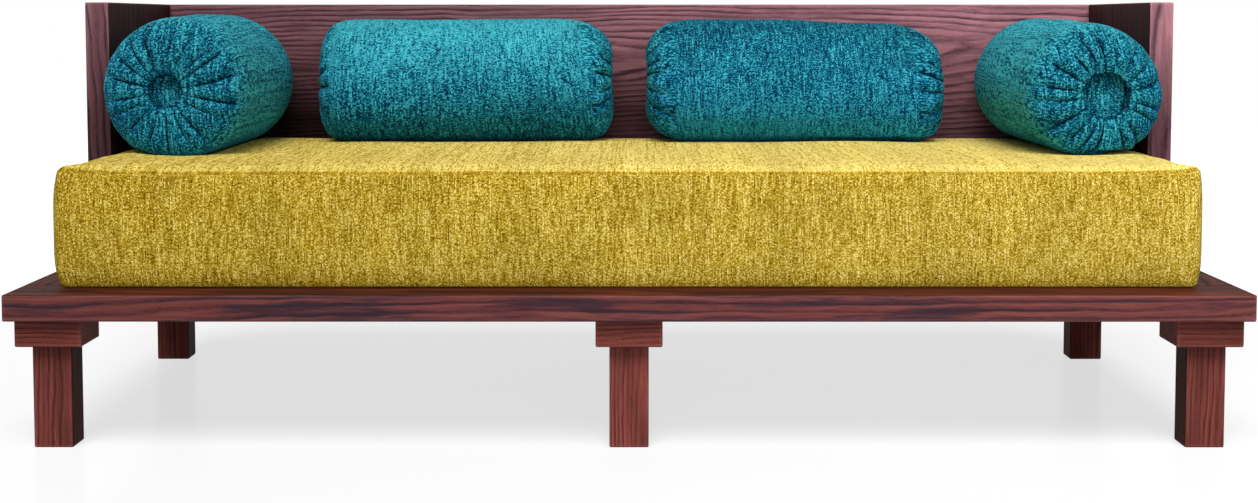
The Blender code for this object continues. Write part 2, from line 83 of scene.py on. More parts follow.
# %% [markdown]
# ## Small helpers for finishes
#
# A procedural finish is a little machine of nodes. These helpers keep each machine short to read: one adds
# a node and fills its sockets with values or links, the others wrap arithmetic, noise, ramps and mixing.


# %% Helpers for finishes
def new_finish(name):
    """A material with its tree and its Principled shader."""
    finish = bpy.data.materials.new(name)
    finish.use_nodes = True
    return finish, finish.node_tree, finish.node_tree.nodes["Principled BSDF"]


def add_node(tree, kind, sockets=(), **options):
    """One shader node. Sockets maps an input to a constant or to another node's output."""
    made = tree.nodes.new("ShaderNode" + kind)
    for option, value in options.items():
        setattr(made, option, value)
    for socket, value in dict(sockets).items():
        if isinstance(value, bpy.types.NodeSocket):
            tree.links.new(value, made.inputs[socket])
        else:
            made.inputs[socket].default_value = value
    return made


def maths(tree, operation, *values):
    """One step of arithmetic on numbers or outputs."""
    return add_node(tree, "Math", enumerate(values), operation=operation).outputs[0]


def vectors(tree, operation, *values):
    """One step of arithmetic on vectors, giving a vector, or a number for a length or a dot product."""
    sockets = {0: values[0], "Scale": values[1]} if operation == "SCALE" else enumerate(values)
    made = add_node(tree, "VectorMath", sockets, operation=operation)
    return made.outputs["Value" if operation in ("LENGTH", "DOT_PRODUCT") else "Vector"]


def noise(tree, vector, stretch, detail=2.0, roughness=0.5):
    """Noise on a vector stretched by so many cells a metre along each axis."""
    scaled = vectors(tree, "MULTIPLY", vector, stretch)
    sockets = {"Vector": scaled, "Scale": 1.0, "Detail": detail, "Roughness": roughness}
    return add_node(tree, "TexNoise", sockets)


def remap(tree, value, low, high, new_low=0.0, new_high=1.0):
    """A value carried from one range to another and held inside it."""
    sockets = {"Value": value, "From Min": low, "From Max": high, "To Min": new_low, "To Max": new_high}
    return add_node(tree, "MapRange", sockets, interpolation_type="SMOOTHSTEP").outputs[0]


def ramp(tree, value, stops):
    """A colour for each value, blended between (position, colour) stops."""
    made = add_node(tree, "ValToRGB", {0: value})
    elements = made.color_ramp.elements
    for element, (position, colour) in zip(elements, (stops[0], stops[-1])):
        element.position = position
        element.color = (*colour, 1.0)
    for position, colour in stops[1:-1]:
        elements.new(position).color = (*colour, 1.0)
    return made.outputs["Color"]


def mix(tree, share, first, second, how="MIX"):
    """Two colours blended by a share, or multiplied by it."""
    sockets = {0: share}
    for socket, value in ((6, first), (7, second)):
        sockets[socket] = value if isinstance(value, bpy.types.NodeSocket) else (*value, 1.0)
    return add_node(tree, "Mix", sockets, data_type="RGBA", blend_type=how).outputs[2]


def seen_by_eye(tree):
    """1 for rays from the camera, and for those that a gloss or a glass sends on, else 0."""
    path = add_node(tree, "LightPath")
    rays = [path.outputs[name] for name in ("Is Camera Ray", "Is Glossy Ray", "Is Transmission Ray")]
    return maths(tree, "MAXIMUM", maths(tree, "MAXIMUM", rays[0], rays[1]), rays[2])


# %% [markdown]
# ## Floor and background
#
# The sofa stands on a pale studio sweep that fades to white. The floor is an ordinary matt surface with a
# trace of gloss, so it takes the shadow and a faint image of the legs. To the eye and in glossy surfaces
# it also glows a little, more with distance, and the world behind it is white, so only the shadow shows.

# %% Floor and background
FLOOR_REACH = 9.0
FLOOR_TONE = 0.28
FLOOR_GLOW = 0.70
FLOOR_GLOSS = 0.05
FLOOR_ROUGHNESS = 0.16
FADE_START = 1.25
FADE_END = 2.3
FADE_DEPTH = 0.62
AMBIENT = 0.09

floor_mesh = bpy.data.meshes.new("floor")
corners = FLOOR_REACH * np.array([(-1, -1, 0), (1, -1, 0), (1, 1, 0), (-1, 1, 0)])
floor_mesh.from_pydata(corners, [], [(0, 1, 2, 3)])
floor = bpy.data.objects.new("floor", floor_mesh)
scene.collection.objects.link(floor)

sweep, tree, _ = new_finish("pale_sweep")
place = add_node(tree, "TexCoord").outputs["Object"]
distance = vectors(tree, "LENGTH", vectors(tree, "MULTIPLY", place, (FADE_DEPTH, 1.0, 0.0)))
brightness = remap(tree, distance, FADE_START, FADE_END, FLOOR_GLOW, 1.0)
glow = maths(tree, "MULTIPLY", brightness, seen_by_eye(tree))
matt = add_node(tree, "BsdfDiffuse", {"Color": (FLOOR_TONE, FLOOR_TONE, FLOOR_TONE, 1.0)})
lit = add_node(tree, "Emission", {"Strength": glow})
both = add_node(tree, "AddShader", {0: matt.outputs[0], 1: lit.outputs[0]})
gloss = add_node(tree, "BsdfGlossy", {"Roughness": FLOOR_ROUGHNESS})
surface = add_node(tree, "MixShader", {0: FLOOR_GLOSS, 1: both.outputs[0], 2: gloss.outputs[0]})
tree.links.new(surface.outputs[0], tree.nodes["Material Output"].inputs["Surface"])
floor_mesh.materials.append(sweep)

world = bpy.data.worlds.new("studio")
world.use_nodes = True
tree = world.node_tree
ambient = add_node(tree, "Background", {"Color": (1.0, 0.985, 0.965, 1.0), "Strength": AMBIENT})
white = add_node(tree, "Background", {"Strength": 1.0, "Color": (1.0, 1.0, 1.0, 1.0)})
sky = add_node(tree, "MixShader", {0: seen_by_eye(tree), 1: ambient.outputs[0], 2: white.outputs[0]})
tree.links.new(sky.outputs[0], tree.nodes["World Output"].inputs["Surface"])
scene.world = world
print("floor", 2 * FLOOR_REACH, "m wide, ambient light", AMBIENT)

# %% [markdown]
# ## Light
#
# The sofa is lit as in a small studio. The key light is a broad soft source high up in front, a little
# from the left, so far away that it acts like a hazy sun: the seat is brighter than its front, and the inner
# sides of the arms and legs stay dark. A slightly cool box beside the camera lifts the front, a small one
# near the right end makes that end the brighter one, and a weak one lights the back. Together they are set
# so that a surface facing them shows about its own colour.

# %% Light
KEY_STRENGTH = 3.3
KEY_HEIGHT = math.radians(56.0)
KEY_SPREAD = math.radians(40.0)
KEY_FROM_LEFT = math.radians(6.0)
SOFT_BOXES = {
    "front": ((0.3, -3.4, 0.9), (2.2, 1.2), 31.0, (0.84, 0.97, 1.16)),
    "right": ((1.35, -1.35, 1.6), (0.7, 0.7), 8.0, (1.0, 1.0, 1.0)),
    "rear": ((-0.4, 3.2, 1.3), (2.2, 1.2), 12.0, (1.0, 1.0, 1.0)),
}
AIM = Vector((0.0, 0.0, 0.4))

key = bpy.data.lights.new("key_light", "SUN")
key.energy = KEY_STRENGTH
key.angle = KEY_SPREAD
key_light = bpy.data.objects.new("key_light", key)
key_light.rotation_euler = (math.pi / 2 - KEY_HEIGHT, 0.0, -KEY_FROM_LEFT)
scene.collection.objects.link(key_light)

for name, (spot, (width, height), power, tint) in SOFT_BOXES.items():
    lamp = bpy.data.lights.new(f"soft_box_{name}", "AREA")
    lamp.shape = "RECTANGLE"
    lamp.size = width
    lamp.size_y = height
    lamp.energy = power
    lamp.color = tint
    soft_box = bpy.data.objects.new(f"soft_box_{name}", lamp)
    soft_box.location = spot
    soft_box.rotation_euler = (AIM - Vector(spot)).to_track_quat("-Z", "Y").to_euler()
    soft_box.visible_camera = False
    soft_box.visible_glossy = False
    scene.collection.objects.link(soft_box)
print("key light", KEY_STRENGTH, "and soft boxes:", ", ".join(SOFT_BOXES))

# %% [markdown]
# ## Stained ash
#
# The boards are ash under a dark red-brown stain. Ash grows in strong rings: each year starts with a band
# of open pores, which drinks the stain and turns purple-black, and ends in dense wood that stays red. A
# photograph of a board could be wrapped round each piece, but the grain would break at every edge. Here
# the ring pattern is solid: each board is placed in an imaginary log, and a point's colour comes from its
# distance to the log's middle, so the lines run over the edges as they do on sawn wood.

# %% Stained ash
GRAIN_TURNS = {"x": (0.0, 0.0, 0.0), "y": (0.0, 0.0, -math.pi / 2), "z": (0.0, math.pi / 2, 0.0)}
WANDER_CELLS = (1.1, 4.0, 4.0)
WANDER = (0.0, 0.050, 0.050)
RIPPLE_CELLS = (9.0, 34.0, 34.0)
RIPPLE = (0.0, 0.008, 0.008)
FADE_CELLS = (2.6, 55.0, 55.0)
STAIN_CELLS = (3.4, 42.0, 42.0)
FIBRE_CELLS = (9.0, 430.0, 430.0)
PORE_CELLS = (85.0, 2300.0, 2300.0)
RING_FEATHER = 0.34
WORN_EDGE = 0.007
EVEN = (1.0, 1.0)
# Painted shade low on the front of the panel and the arms, where the cushions shade them: full below the
# first height and gone above the second, with strengths that run from left to right.
FOOT_SHADE_HEIGHTS = (0.49, 0.71)
BOARD_FOOT_SHADE = {"back_panel": (0.06, 0.34), "arm_left": (0.36, 0.36), "arm_right": (0.38, 0.38)}
SHADE_FACE_REACH = 0.0016
BUMP_DEPTH = 0.0005

ASH = {
    "pores": (0.046, 0.022, 0.029),
    "early": (0.094, 0.041, 0.050),
    "late": (0.205, 0.085, 0.098),
    "pale": (0.262, 0.115, 0.130),
    "worn": (0.300, 0.140, 0.140),
    "streak": 0.35,
    "gloss": 0.02,
    "roughness": (0.52, 0.68),
}
RAIL_ASH = {
    **ASH,
    "pores": (0.042, 0.024, 0.033),
    "early": (0.082, 0.031, 0.036),
    "late": (0.178, 0.048, 0.042),
    "pale": (0.225, 0.068, 0.058),
    "worn": (0.240, 0.100, 0.095),
    "streak": 0.85,
}
LEG_ASH = {
    **ASH,
    "pores": (0.068, 0.018, 0.016),
    "early": (0.110, 0.027, 0.022),
    "late": (0.165, 0.041, 0.030),
    "pale": (0.200, 0.054, 0.040),
    "worn": (0.240, 0.081, 0.060),
    "streak": 0.45,
}


def edge_closeness(tree, spot, low, high):
    """1 on a board's edges and 0 on its flat faces. With e the share of the edge zone that a point has
    reached along each axis, the sum of the products of each two of them is ((sum e)^2 - sum e^2) / 2."""
    centre, half = (low + high) / 2, (high - low) / 2
    offset = vectors(tree, "ABSOLUTE", vectors(tree, "SUBTRACT", spot, centre))
    reached = vectors(tree, "SUBTRACT", offset, half - Vector((WORN_EDGE,) * 3))
    share = vectors(tree, "DIVIDE", vectors(tree, "MAXIMUM", reached, (0.0, 0.0, 0.0)), (WORN_EDGE,) * 3)
    total = vectors(tree, "DOT_PRODUCT", share, (1.0, 1.0, 1.0))
    squares = vectors(tree, "DOT_PRODUCT", share, share)
    pairs = maths(tree, "SUBTRACT", maths(tree, "MULTIPLY", total, total), squares)
    return maths(tree, "MULTIPLY", pairs, 0.5)


def timber(name, tones, box, grain, pith, ring, lean, shift, ends=EVEN, deep=None, foot=None):
    """Solid wood. Grain is the axis that the fibres follow, pith the way across the grain from the log's
    middle to the board's middle, ring a year's growth, lean the slope of the board in its log, and shift its
    place along it. The colour changes along the board between the strengths at its two ends; on the frame's
    boards this is painted light. Deep names a face by axis and side that gets painted shade, and the tint it
    has beside the other faces. Foot is the strength of the colour low down on the front, at its left and its
    right, a painted shade where the cushions would shade it."""
    finish, tree, shader = new_finish(name)
    low, high = box
    spot = add_node(tree, "TexCoord").outputs["Object"]
    turn = Euler(GRAIN_TURNS[grain])
    place = -(turn.to_matrix() @ ((low + high) / 2))
    turned = add_node(tree, "Mapping", {"Vector": spot, "Rotation": turn, "Location": place}).outputs[0]
    leaned = {"Vector": turned, "Rotation": (0.0, *lean), "Location": (shift, *pith)}
    log = add_node(tree, "Mapping", leaned).outputs[0]

    for cells, reach in ((WANDER_CELLS, WANDER), (RIPPLE_CELLS, RIPPLE)):
        drift = vectors(tree, "SUBTRACT", noise(tree, log, cells).outputs["Color"], (0.5, 0.5, 0.5))
        log = vectors(tree, "MULTIPLY_ADD", drift, reach, log)
    radius = vectors(tree, "LENGTH", vectors(tree, "MULTIPLY", log, (0.0, 1.0, 1.0)))
    fibre = noise(tree, log, FIBRE_CELLS, 3.0, 0.6).outputs["Fac"]
    feathered = maths(tree, "MULTIPLY_ADD", fibre, RING_FEATHER, maths(tree, "DIVIDE", radius, ring))
    year = maths(tree, "FRACT", feathered)
    bands = [(0.0, tones["early"]), (0.09, tones["pores"]), (0.22, tones["early"]), (0.45, tones["late"]),
             (0.86, tones["pale"]), (1.0, tones["early"])]
    clear = remap(tree, noise(tree, log, FADE_CELLS).outputs["Fac"], 0.34, 0.62, 0.25, 1.0)
    colour = mix(tree, clear, tones["late"], ramp(tree, year, bands))

    blotch = noise(tree, log, STAIN_CELLS, 4.0, 0.62).outputs["Fac"]
    colour = mix(tree, remap(tree, blotch, 0.46, 0.64, 0.0, tones["streak"]), colour, tones["pores"])
    streaks = ramp(tree, fibre, [(0.3, (0.62,) * 3), (0.7, (1.30,) * 3)])
    colour = mix(tree, 0.55, colour, streaks, "MULTIPLY")
    pore = remap(tree, noise(tree, log, PORE_CELLS, 0.0).outputs["Fac"], 0.56, 0.66)
    open_pores = maths(tree, "MULTIPLY", pore, remap(tree, year, 0.5, 0.1))
    colour = mix(tree, open_pores, colour, tones["pores"])
    on_edge = edge_closeness(tree, spot, low, high)
    wear = maths(tree, "MULTIPLY", on_edge, remap(tree, fibre, 0.35, 0.65, 0.1, 0.6))
    colour = mix(tree, wear, colour, tones["worn"])
    # The strengths at the two ends scale the colour; on the frame's boards this is painted light.
    if ends != EVEN:
        half_length = (high - low)["xyz".index(grain)] / 2
        along = add_node(tree, "SeparateXYZ", {0: turned}).outputs[0]
        colour = vectors(tree, "SCALE", colour, remap(tree, along, -half_length, half_length, *ends))
    # Painted shade low on the front face, where the cushions would shade it.
    if foot:
        sideways, back, up = add_node(tree, "SeparateXYZ", {0: spot}).outputs
        strength = remap(tree, sideways, low.x, high.x, *foot)
        shaded = vectors(tree, "SCALE", colour, remap(tree, up, *FOOT_SHADE_HEIGHTS, strength, 1.0))
        in_front = remap(tree, back, low.y + SHADE_FACE_REACH, low.y + SHADE_FACE_REACH / 2)
        colour = mix(tree, in_front, colour, shaded)
    # Painted shade: the named face is darkened by its tint, as if out of the light.
    if deep:
        axis, side, tint = deep
        face = high[axis] if side > 0 else low[axis]
        reach = add_node(tree, "SeparateXYZ", {0: spot}).outputs[axis]
        on_face = remap(tree, reach, face - side * SHADE_FACE_REACH, face - side * SHADE_FACE_REACH / 2)
        colour = mix(tree, on_face, colour, vectors(tree, "MULTIPLY", colour, tint))
    tree.links.new(colour, shader.inputs["Base Color"])

    roughness = remap(tree, maths(tree, "ADD", open_pores, fibre), 0.2, 1.4, *tones["roughness"])
    tree.links.new(roughness, shader.inputs["Roughness"])
    shader.inputs["Specular IOR Level"].default_value = tones["gloss"]
    height = maths(tree, "SUBTRACT", maths(tree, "MULTIPLY", year, 0.35), open_pores)
    relief = add_node(tree, "Bump", {"Height": height, "Strength": 0.5, "Distance": BUMP_DEPTH})
    tree.links.new(relief.outputs[0], shader.inputs["Normal"])
    return finish


def dress(node, finish):
    """Gives a node of the frame its finish."""
    nodes[node].data.materials.clear()
    nodes[node].data.materials.append(finish)


# %% [markdown]
# ## Boards of the frame
#
# Every board is cut from its own place in the log, so no two show the same grain. Shade is painted into the
# stain: the tops of the rails, the inner sides of the arms and legs, and the panel low down behind the
# cushions are darker, and painted light makes the right end of the sofa paler than the left.

# %% Boards of the frame
# Painted shade: the tops of the rails and the inner sides of the arms are darkened where light doesn't reach.
PAINTED_SHADE_ON_TOP = (2, 1, (0.52, 0.38, 0.22))
PAINTED_SHADE_LEFT_INNER = (0, 1, (0.25, 0.20, 0.17))
PAINTED_SHADE_RIGHT_INNER = (0, -1, (0.18, 0.14, 0.12))
# Painted light: the last but one column scales each board from end to end, so the right end of the sofa is
# paler.
BOARDS = {
    "front_rail": (RAIL_ASH, "x", (0.030, 0.045), 0.0120, (0.004, 0.012), (0.78, 0.94), PAINTED_SHADE_ON_TOP),
    "back_rail": (RAIL_ASH, "x", (0.060, 0.050), 0.0110, (0.010, -0.008), (0.80, 1.02), PAINTED_SHADE_ON_TOP),
    "end_rail_left": (RAIL_ASH, "y", (0.045, 0.070), 0.0100, (0.006, 0.010), (0.75, 0.90), PAINTED_SHADE_ON_TOP),
    "end_rail_right": (RAIL_ASH, "y", (0.040, 0.060), 0.0105, (-0.008, 0.012), (0.80, 0.95), PAINTED_SHADE_ON_TOP),
    "centre_rail": (RAIL_ASH, "y", (0.050, 0.050), 0.0100, (0.010, 0.006), EVEN, PAINTED_SHADE_ON_TOP),
    "back_panel": (ASH, "x", (0.070, -0.120), 0.0092, (0.020, 0.055), (0.90, 1.95), None),
    "arm_left": (ASH, "z", (0.060, 0.120), 0.0085, (0.012, 0.030), (1.00, 1.05), PAINTED_SHADE_LEFT_INNER),
    "arm_right": (ASH, "z", (-0.080, 0.100), 0.0085, (0.020, -0.025), (1.75, 1.98), PAINTED_SHADE_RIGHT_INNER),
}

for row, name in enumerate(BOARDS):
    tones, grain, pith, ring, lean, ends, deep = BOARDS[name]
    cut = (grain, pith, ring, lean, 2.0 * row)
    finish = timber(f"stained_ash_{name}", tones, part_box(name), *cut, ends, deep, BOARD_FOOT_SHADE.get(name))
    dress(name, finish)

# Painted shade on the inner sides of the outer legs.
PAINTED_SHADE_INNER_LEG = (0.20, 0.14, 0.13)
LEG_COLUMNS = {
    "left": (EVEN, (0, 1, PAINTED_SHADE_INNER_LEG)),
    "middle": ((1.30, 1.30), None),
    "right": ((1.06, 1.06), (0, -1, PAINTED_SHADE_INNER_LEG)),
}
LEG_PLACES = [(row, column) for row in ("front", "back") for column in LEG_COLUMNS]
for count, (row, column) in enumerate(LEG_PLACES):
    ends, deep = LEG_COLUMNS[column]
    leg, block = f"leg_{row}_{column}", f"leg_block_{row}_{column}"
    post = ("z", (0.055, 0.030), 0.0065, (0.01, 0.02), count, ends, deep)
    dress(leg, timber(f"stained_ash_{leg}", LEG_ASH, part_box(leg), *post))
    cap = ("x", (0.050, 0.040), 0.0080, (0.02, 0.01), count, ends)
    dress(block, timber(f"stained_ash_{block}", LEG_ASH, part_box(block), *cap))
print("dressed", len(BOARDS) + 2 * len(LEG_PLACES), "boards in stained ash")

# %% [markdown]
# ## Deck slats and steel
#
# The slats under the mattress are plain planed softwood: the same solid rings, wider and paler, with no
# stain and almost no gloss. The screws and studs are zinc-plated steel, so they get a metal with the faint
# cloudy crystals of the plating.

# %% Deck slats and steel
PINE = {
    "pores": (0.400, 0.235, 0.105),
    "early": (0.560, 0.390, 0.215),
    "late": (0.610, 0.440, 0.260),
    "pale": (0.660, 0.500, 0.310),
    "worn": (0.680, 0.540, 0.370),
    "streak": 0.0,
    "gloss": 0.25,
    "roughness": (0.58, 0.72),
}
slats = sorted(name for name in nodes if name.startswith("slat_"))
for count, name in enumerate(slats):
    cut = ("y", (0.06, 0.04), 0.006, (0.01, 0.02), count)
    dress(name, timber(f"planed_pine_{name}", PINE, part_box(name), *cut))

ZINC = [(0.3, (0.42, 0.44, 0.45)), (0.7, (0.62, 0.63, 0.62))]
ZINC_CELLS = (900.0, 900.0, 900.0)
zinc, tree, shader = new_finish("zinc_plate")
spot = add_node(tree, "TexCoord").outputs["Object"]
cloud = noise(tree, spot, ZINC_CELLS, 3.0).outputs["Fac"]
tree.links.new(ramp(tree, cloud, ZINC), shader.inputs["Base Color"])
tree.links.new(remap(tree, cloud, 0.3, 0.7, 0.26, 0.44), shader.inputs["Roughness"])
shader.inputs["Metallic"].default_value = 1.0
fasteners = sorted(name for name in nodes if "screw" in name or "stud" in name)
for name in fasteners:
    dress(name, zinc)
print("dressed", len(slats), "slats and", len(fasteners), "fasteners")

# %% [markdown]
# ## Surfaces from grids
#
# Each new piece is a surface worked out as whole arrays: a grid of points that are a function of two
# parameters, with faces between neighbouring points. The helpers here number a grid's cells, put arrays
# into a mesh with its cloth coordinates, and turn the faces outwards by the sign of the enclosed volume.


# %% Surfaces from grids
def grid_cells(rows, columns, rows_close=False, columns_close=False):
    """Each cell of a grid as the numbers of its four corners, and their rows and columns, which are counted
    past the end where the surface closes on itself."""
    row, column = np.meshgrid(
        np.arange(rows if rows_close else rows - 1),
        np.arange(columns if columns_close else columns - 1),
        indexing="ij",
    )
    corner_rows = np.stack([row, row + 1, row + 1, row], axis=-1).reshape(-1, 4)
    corner_columns = np.stack([column, column, column + 1, column + 1], axis=-1).reshape(-1, 4)
    return corner_rows % rows * columns + corner_columns % columns, corner_rows, corner_columns


def enclosed_volume(points, cells):
    """A sixth of the sum of a.(b x c) over the triangles of a closed surface."""
    a, b, c, d = (points[cells[:, corner]] for corner in range(4))
    return (a * (np.cross(b, c) + np.cross(c, d))).sum() / 6


def make_piece(name, points, cells, finish, cloth=None, marks=None):
    """A smooth closed mesh at the origin from points and four-cornered cells. Cloth holds the two cloth
    coordinates of every corner of every cell, in metres. Marks are named values at the points: painted light
    is how much paler or darker the cloth is painted there, and painted cool light how much bluer it is
    painted."""
    if enclosed_volume(points, cells) < 0:
        cells = cells[:, ::-1]
        cloth = None if cloth is None else cloth[:, ::-1]
    mesh = bpy.data.meshes.new(name)
    mesh.vertices.add(len(points))
    mesh.vertices.foreach_set("co", points.ravel())
    mesh.loops.add(cells.size)
    mesh.loops.foreach_set("vertex_index", cells.ravel())
    mesh.polygons.add(len(cells))
    mesh.polygons.foreach_set("loop_start", np.arange(0, cells.size, 4))
    mesh.polygons.foreach_set("use_smooth", np.ones(len(cells), dtype=bool))
    mesh.update(calc_edges=True)
    if cloth is not None:
        mesh.uv_layers.new(name="cloth").uv.foreach_set("vector", cloth.ravel())
    for mark, values in (marks or {}).items():
        mesh.attributes.new(mark, "FLOAT", "POINT").data.foreach_set("value", values)
    mesh.validate()
    mesh.materials.append(finish)
    piece = bpy.data.objects.new(name, mesh)
    scene.collection.objects.link(piece)
    return piece


def read_points(mesh):
    """A mesh's points as an array."""
    points = np.empty(len(mesh.vertices) * 3)
    mesh.vertices.foreach_get("co", points)
    return points.reshape(-1, 3)


def set_points(piece, points):
    """Puts an array of points into a piece's mesh."""
    piece.data.vertices.foreach_set("co", points.ravel())
    piece.data.update()


def round_off(piece):
    """Smooths a finished piece with one level of subdivision."""
    smoothing = piece.modifiers.new("smooth_surface", "SUBSURF")
    smoothing.levels = 1
    smoothing.render_levels = 1


def ease(value):
    """A smooth step from 0 to 1: 3 v^2 - 2 v^3."""
    share = np.clip(value, 0.0, 1.0)
    return share * share * (3.0 - 2.0 * share)


# %% [markdown]
# ## Stuffing a cover
#
# A stuffed cover is cloth with pressure behind it: it stands out between its seams and stays down where it
# is sewn. That is what a cloth simulation is for. The cover starts a little too small, its seams are pinned,
# and pressure blows it up for twenty frames without gravity. Each point is then held to a short way from
# its start, as the filling would hold it, and the simulation is taken off again.

# %% Stuffing a cover
PANEL_PRESSURE = 4.0
COVER_PRESSURE = 80.0
SIM_FRAMES = 20
SIM_QUALITY = 3


def stuff(piece, sewn, pressure, reach):
    """Blows a cover up between its sewn points and lets no point move further than reach. Smaller cells
    catch less of the pressure, so a finer cover needs more of it."""
    start = read_points(piece.data)
    seams = piece.vertex_groups.new(name="sewn")
    seams.add(np.flatnonzero(sewn).tolist(), 1.0, "REPLACE")
    cloth = piece.modifiers.new("stuffing", "CLOTH")
    cloth.settings.quality = SIM_QUALITY
    cloth.settings.use_pressure = True
    cloth.settings.uniform_pressure_force = pressure
    cloth.settings.effector_weights.gravity = 0.0
    cloth.settings.vertex_group_mass = seams.name
    cloth.collision_settings.use_collision = False
    cloth.point_cache.frame_end = SIM_FRAMES
    for number in range(1, SIM_FRAMES + 1):
        scene.frame_set(number)
    blown = read_points(piece.evaluated_get(bpy.context.evaluated_depsgraph_get()).data)
    piece.modifiers.remove(cloth)
    piece.vertex_groups.remove(seams)
    scene.frame_set(1)
    moved = blown - start
    length = np.linalg.norm(moved, axis=1, keepdims=True)
    held = reach * np.tanh(length / reach)
    set_points(piece, start + moved * held / np.maximum(length, 1e-9))
    mean, most = (round(1000 * float(value), 2) for value in (held.mean(), held.max()))
    print(piece.name, "stuffed: points moved", mean, "mm on average and", most, "mm at most")


# %% [markdown]
# ## Chenille
#
# Chenille is woven from fat furry yarns. Every yarn has its own shade, broken into short flecks where the
# pile leans to or from the light, and the cloth shows as fine ribs with a soft sheen. An even noise would
# look like sponge, so the yarns are numbered: the cloth coordinate across the ribs gives a yarn's number,
# each number draws its own noise along the yarn, and the ribs and the pile also set the relief.

# %% Chenille
YARN_WOBBLE_CELLS = (60.0, 140.0, 1.0)
YARN_WOBBLE = 0.9
YARN_STRIDE = 17.37
FLECK_CELLS = 320.0
DASH_CELLS = 32.0
TUFT_CELLS = (75.0, 160.0, 1.0)
STREAK_CELLS = (60.0, 5.0, 1.0)
CLOUD_CELLS = (9.0, 5.0, 1.0)
PILE_CELLS = (1900.0, 1300.0, 1.0)
PILE_DEPTH = 0.0016
PAINTED_COOL_TINT = (0.45, 0.95, 1.75)
SHADE_MIDDLE = 0.570
SHADE_STOPS = np.array([-0.125, -0.040, 0.030, 0.130])


def chenille(name, tones, yarn_width, spread, sheen):
    """Furry yarns side by side. The four tones go from the shade between yarns to the tips of the pile. Each
    yarn is broken into flecks and longer dashes, and the piece's painted light shifts all of them along the
    tones, to paint light and shade on it. A small spread brings the tones closer together, so that more of
    the flecks reach the darkest and palest. Where the piece's mark asks for it, painted cool light makes it
    bluer."""
    finish, tree, shader = new_finish(name)
    cloth = add_node(tree, "UVMap", uv_map="cloth").outputs[0]
    across, along, _ = add_node(tree, "SeparateXYZ", {0: cloth}).outputs
    wobble = maths(tree, "MULTIPLY", noise(tree, cloth, YARN_WOBBLE_CELLS).outputs["Fac"], YARN_WOBBLE)
    yarns = maths(tree, "ADD", maths(tree, "DIVIDE", across, yarn_width), wobble)
    number = maths(tree, "FLOOR", yarns)
    rib = maths(tree, "SINE", maths(tree, "MULTIPLY", maths(tree, "FRACT", yarns), math.pi))
    strand = maths(tree, "MULTIPLY", number, YARN_STRIDE)
    along_yarn = add_node(tree, "CombineXYZ", {0: strand, 1: along, 2: 0.0})
    fleck = noise(tree, along_yarn.outputs[0], (1.0, FLECK_CELLS, 1.0), 2.0, 0.65).outputs["Fac"]
    streak = noise(tree, cloth, STREAK_CELLS, 3.0, 0.6).outputs["Fac"]
    dash = noise(tree, along_yarn.outputs[0], (1.0, DASH_CELLS, 1.0), 1.0).outputs["Fac"]
    tuft = noise(tree, cloth, TUFT_CELLS, 3.0, 0.7).outputs["Fac"]
    pile = noise(tree, cloth, PILE_CELLS, 1.0).outputs["Fac"]
    # Painted light and shade: the piece's mark moves the shade along the tones.
    shade = add_node(tree, "Attribute", attribute_name="painted_light").outputs["Fac"]
    parts = ((fleck, 0.62), (dash, 0.24), (streak, 0.06), (tuft, 0.02), (pile, 0.14), (rib, 0.06))
    for part, share in parts:
        shade = maths(tree, "MULTIPLY_ADD", part, share, shade)
    colour = ramp(tree, shade, list(zip(SHADE_MIDDLE + spread * SHADE_STOPS, tones)))
    # Painted cool light: a bluer colour where the piece's mark asks for it.
    painted_cool_light = add_node(tree, "Attribute", attribute_name="painted_cool_light").outputs["Fac"]
    colour = mix(tree, painted_cool_light, colour, vectors(tree, "MULTIPLY", colour, PAINTED_COOL_TINT))
    cloud = remap(tree, noise(tree, cloth, CLOUD_CELLS).outputs["Fac"], 0.3, 0.7)
    clouds = ramp(tree, cloud, [(0.0, (0.84,) * 3), (1.0, (1.16,) * 3)])
    colour = mix(tree, 0.5, colour, clouds, "MULTIPLY")
    tree.links.new(colour, shader.inputs["Base Color"])
    shader.inputs["Roughness"].default_value = 0.92
    shader.inputs["Specular IOR Level"].default_value = 0.05
    shader.inputs["Sheen Weight"].default_value = sheen
    shader.inputs["Sheen Roughness"].default_value = 0.40
    shader.inputs["Sheen Tint"].default_value = (*tones[3], 1.0)
    height = maths(tree, "MULTIPLY", rib, 0.25)
    for part, share in ((fleck, 0.35), (pile, 0.40)):
        height = maths(tree, "MULTIPLY_ADD", part, share, height)
    relief = add_node(tree, "Bump", {"Height": height, "Strength": 0.40, "Distance": PILE_DEPTH})
    tree.links.new(relief.outputs[0], shader.inputs["Normal"])
    return finish


MUSTARD = [(0.135, 0.066, 0.001), (0.330, 0.196, 0.005), (0.510, 0.340, 0.024), (0.860, 0.685, 0.200)]
TEAL = [(0.001, 0.016, 0.040), (0.001, 0.070, 0.130), (0.006, 0.174, 0.230), (0.064, 0.435, 0.490)]
mustard = chenille("mustard_chenille", MUSTARD, yarn_width=0.0020, spread=0.80, sheen=0.10)
teal = chenille("teal_chenille", TEAL, yarn_width=0.0024, spread=0.60, sheen=0.12)
print("chenille:", mustard.name, "and", teal.name)
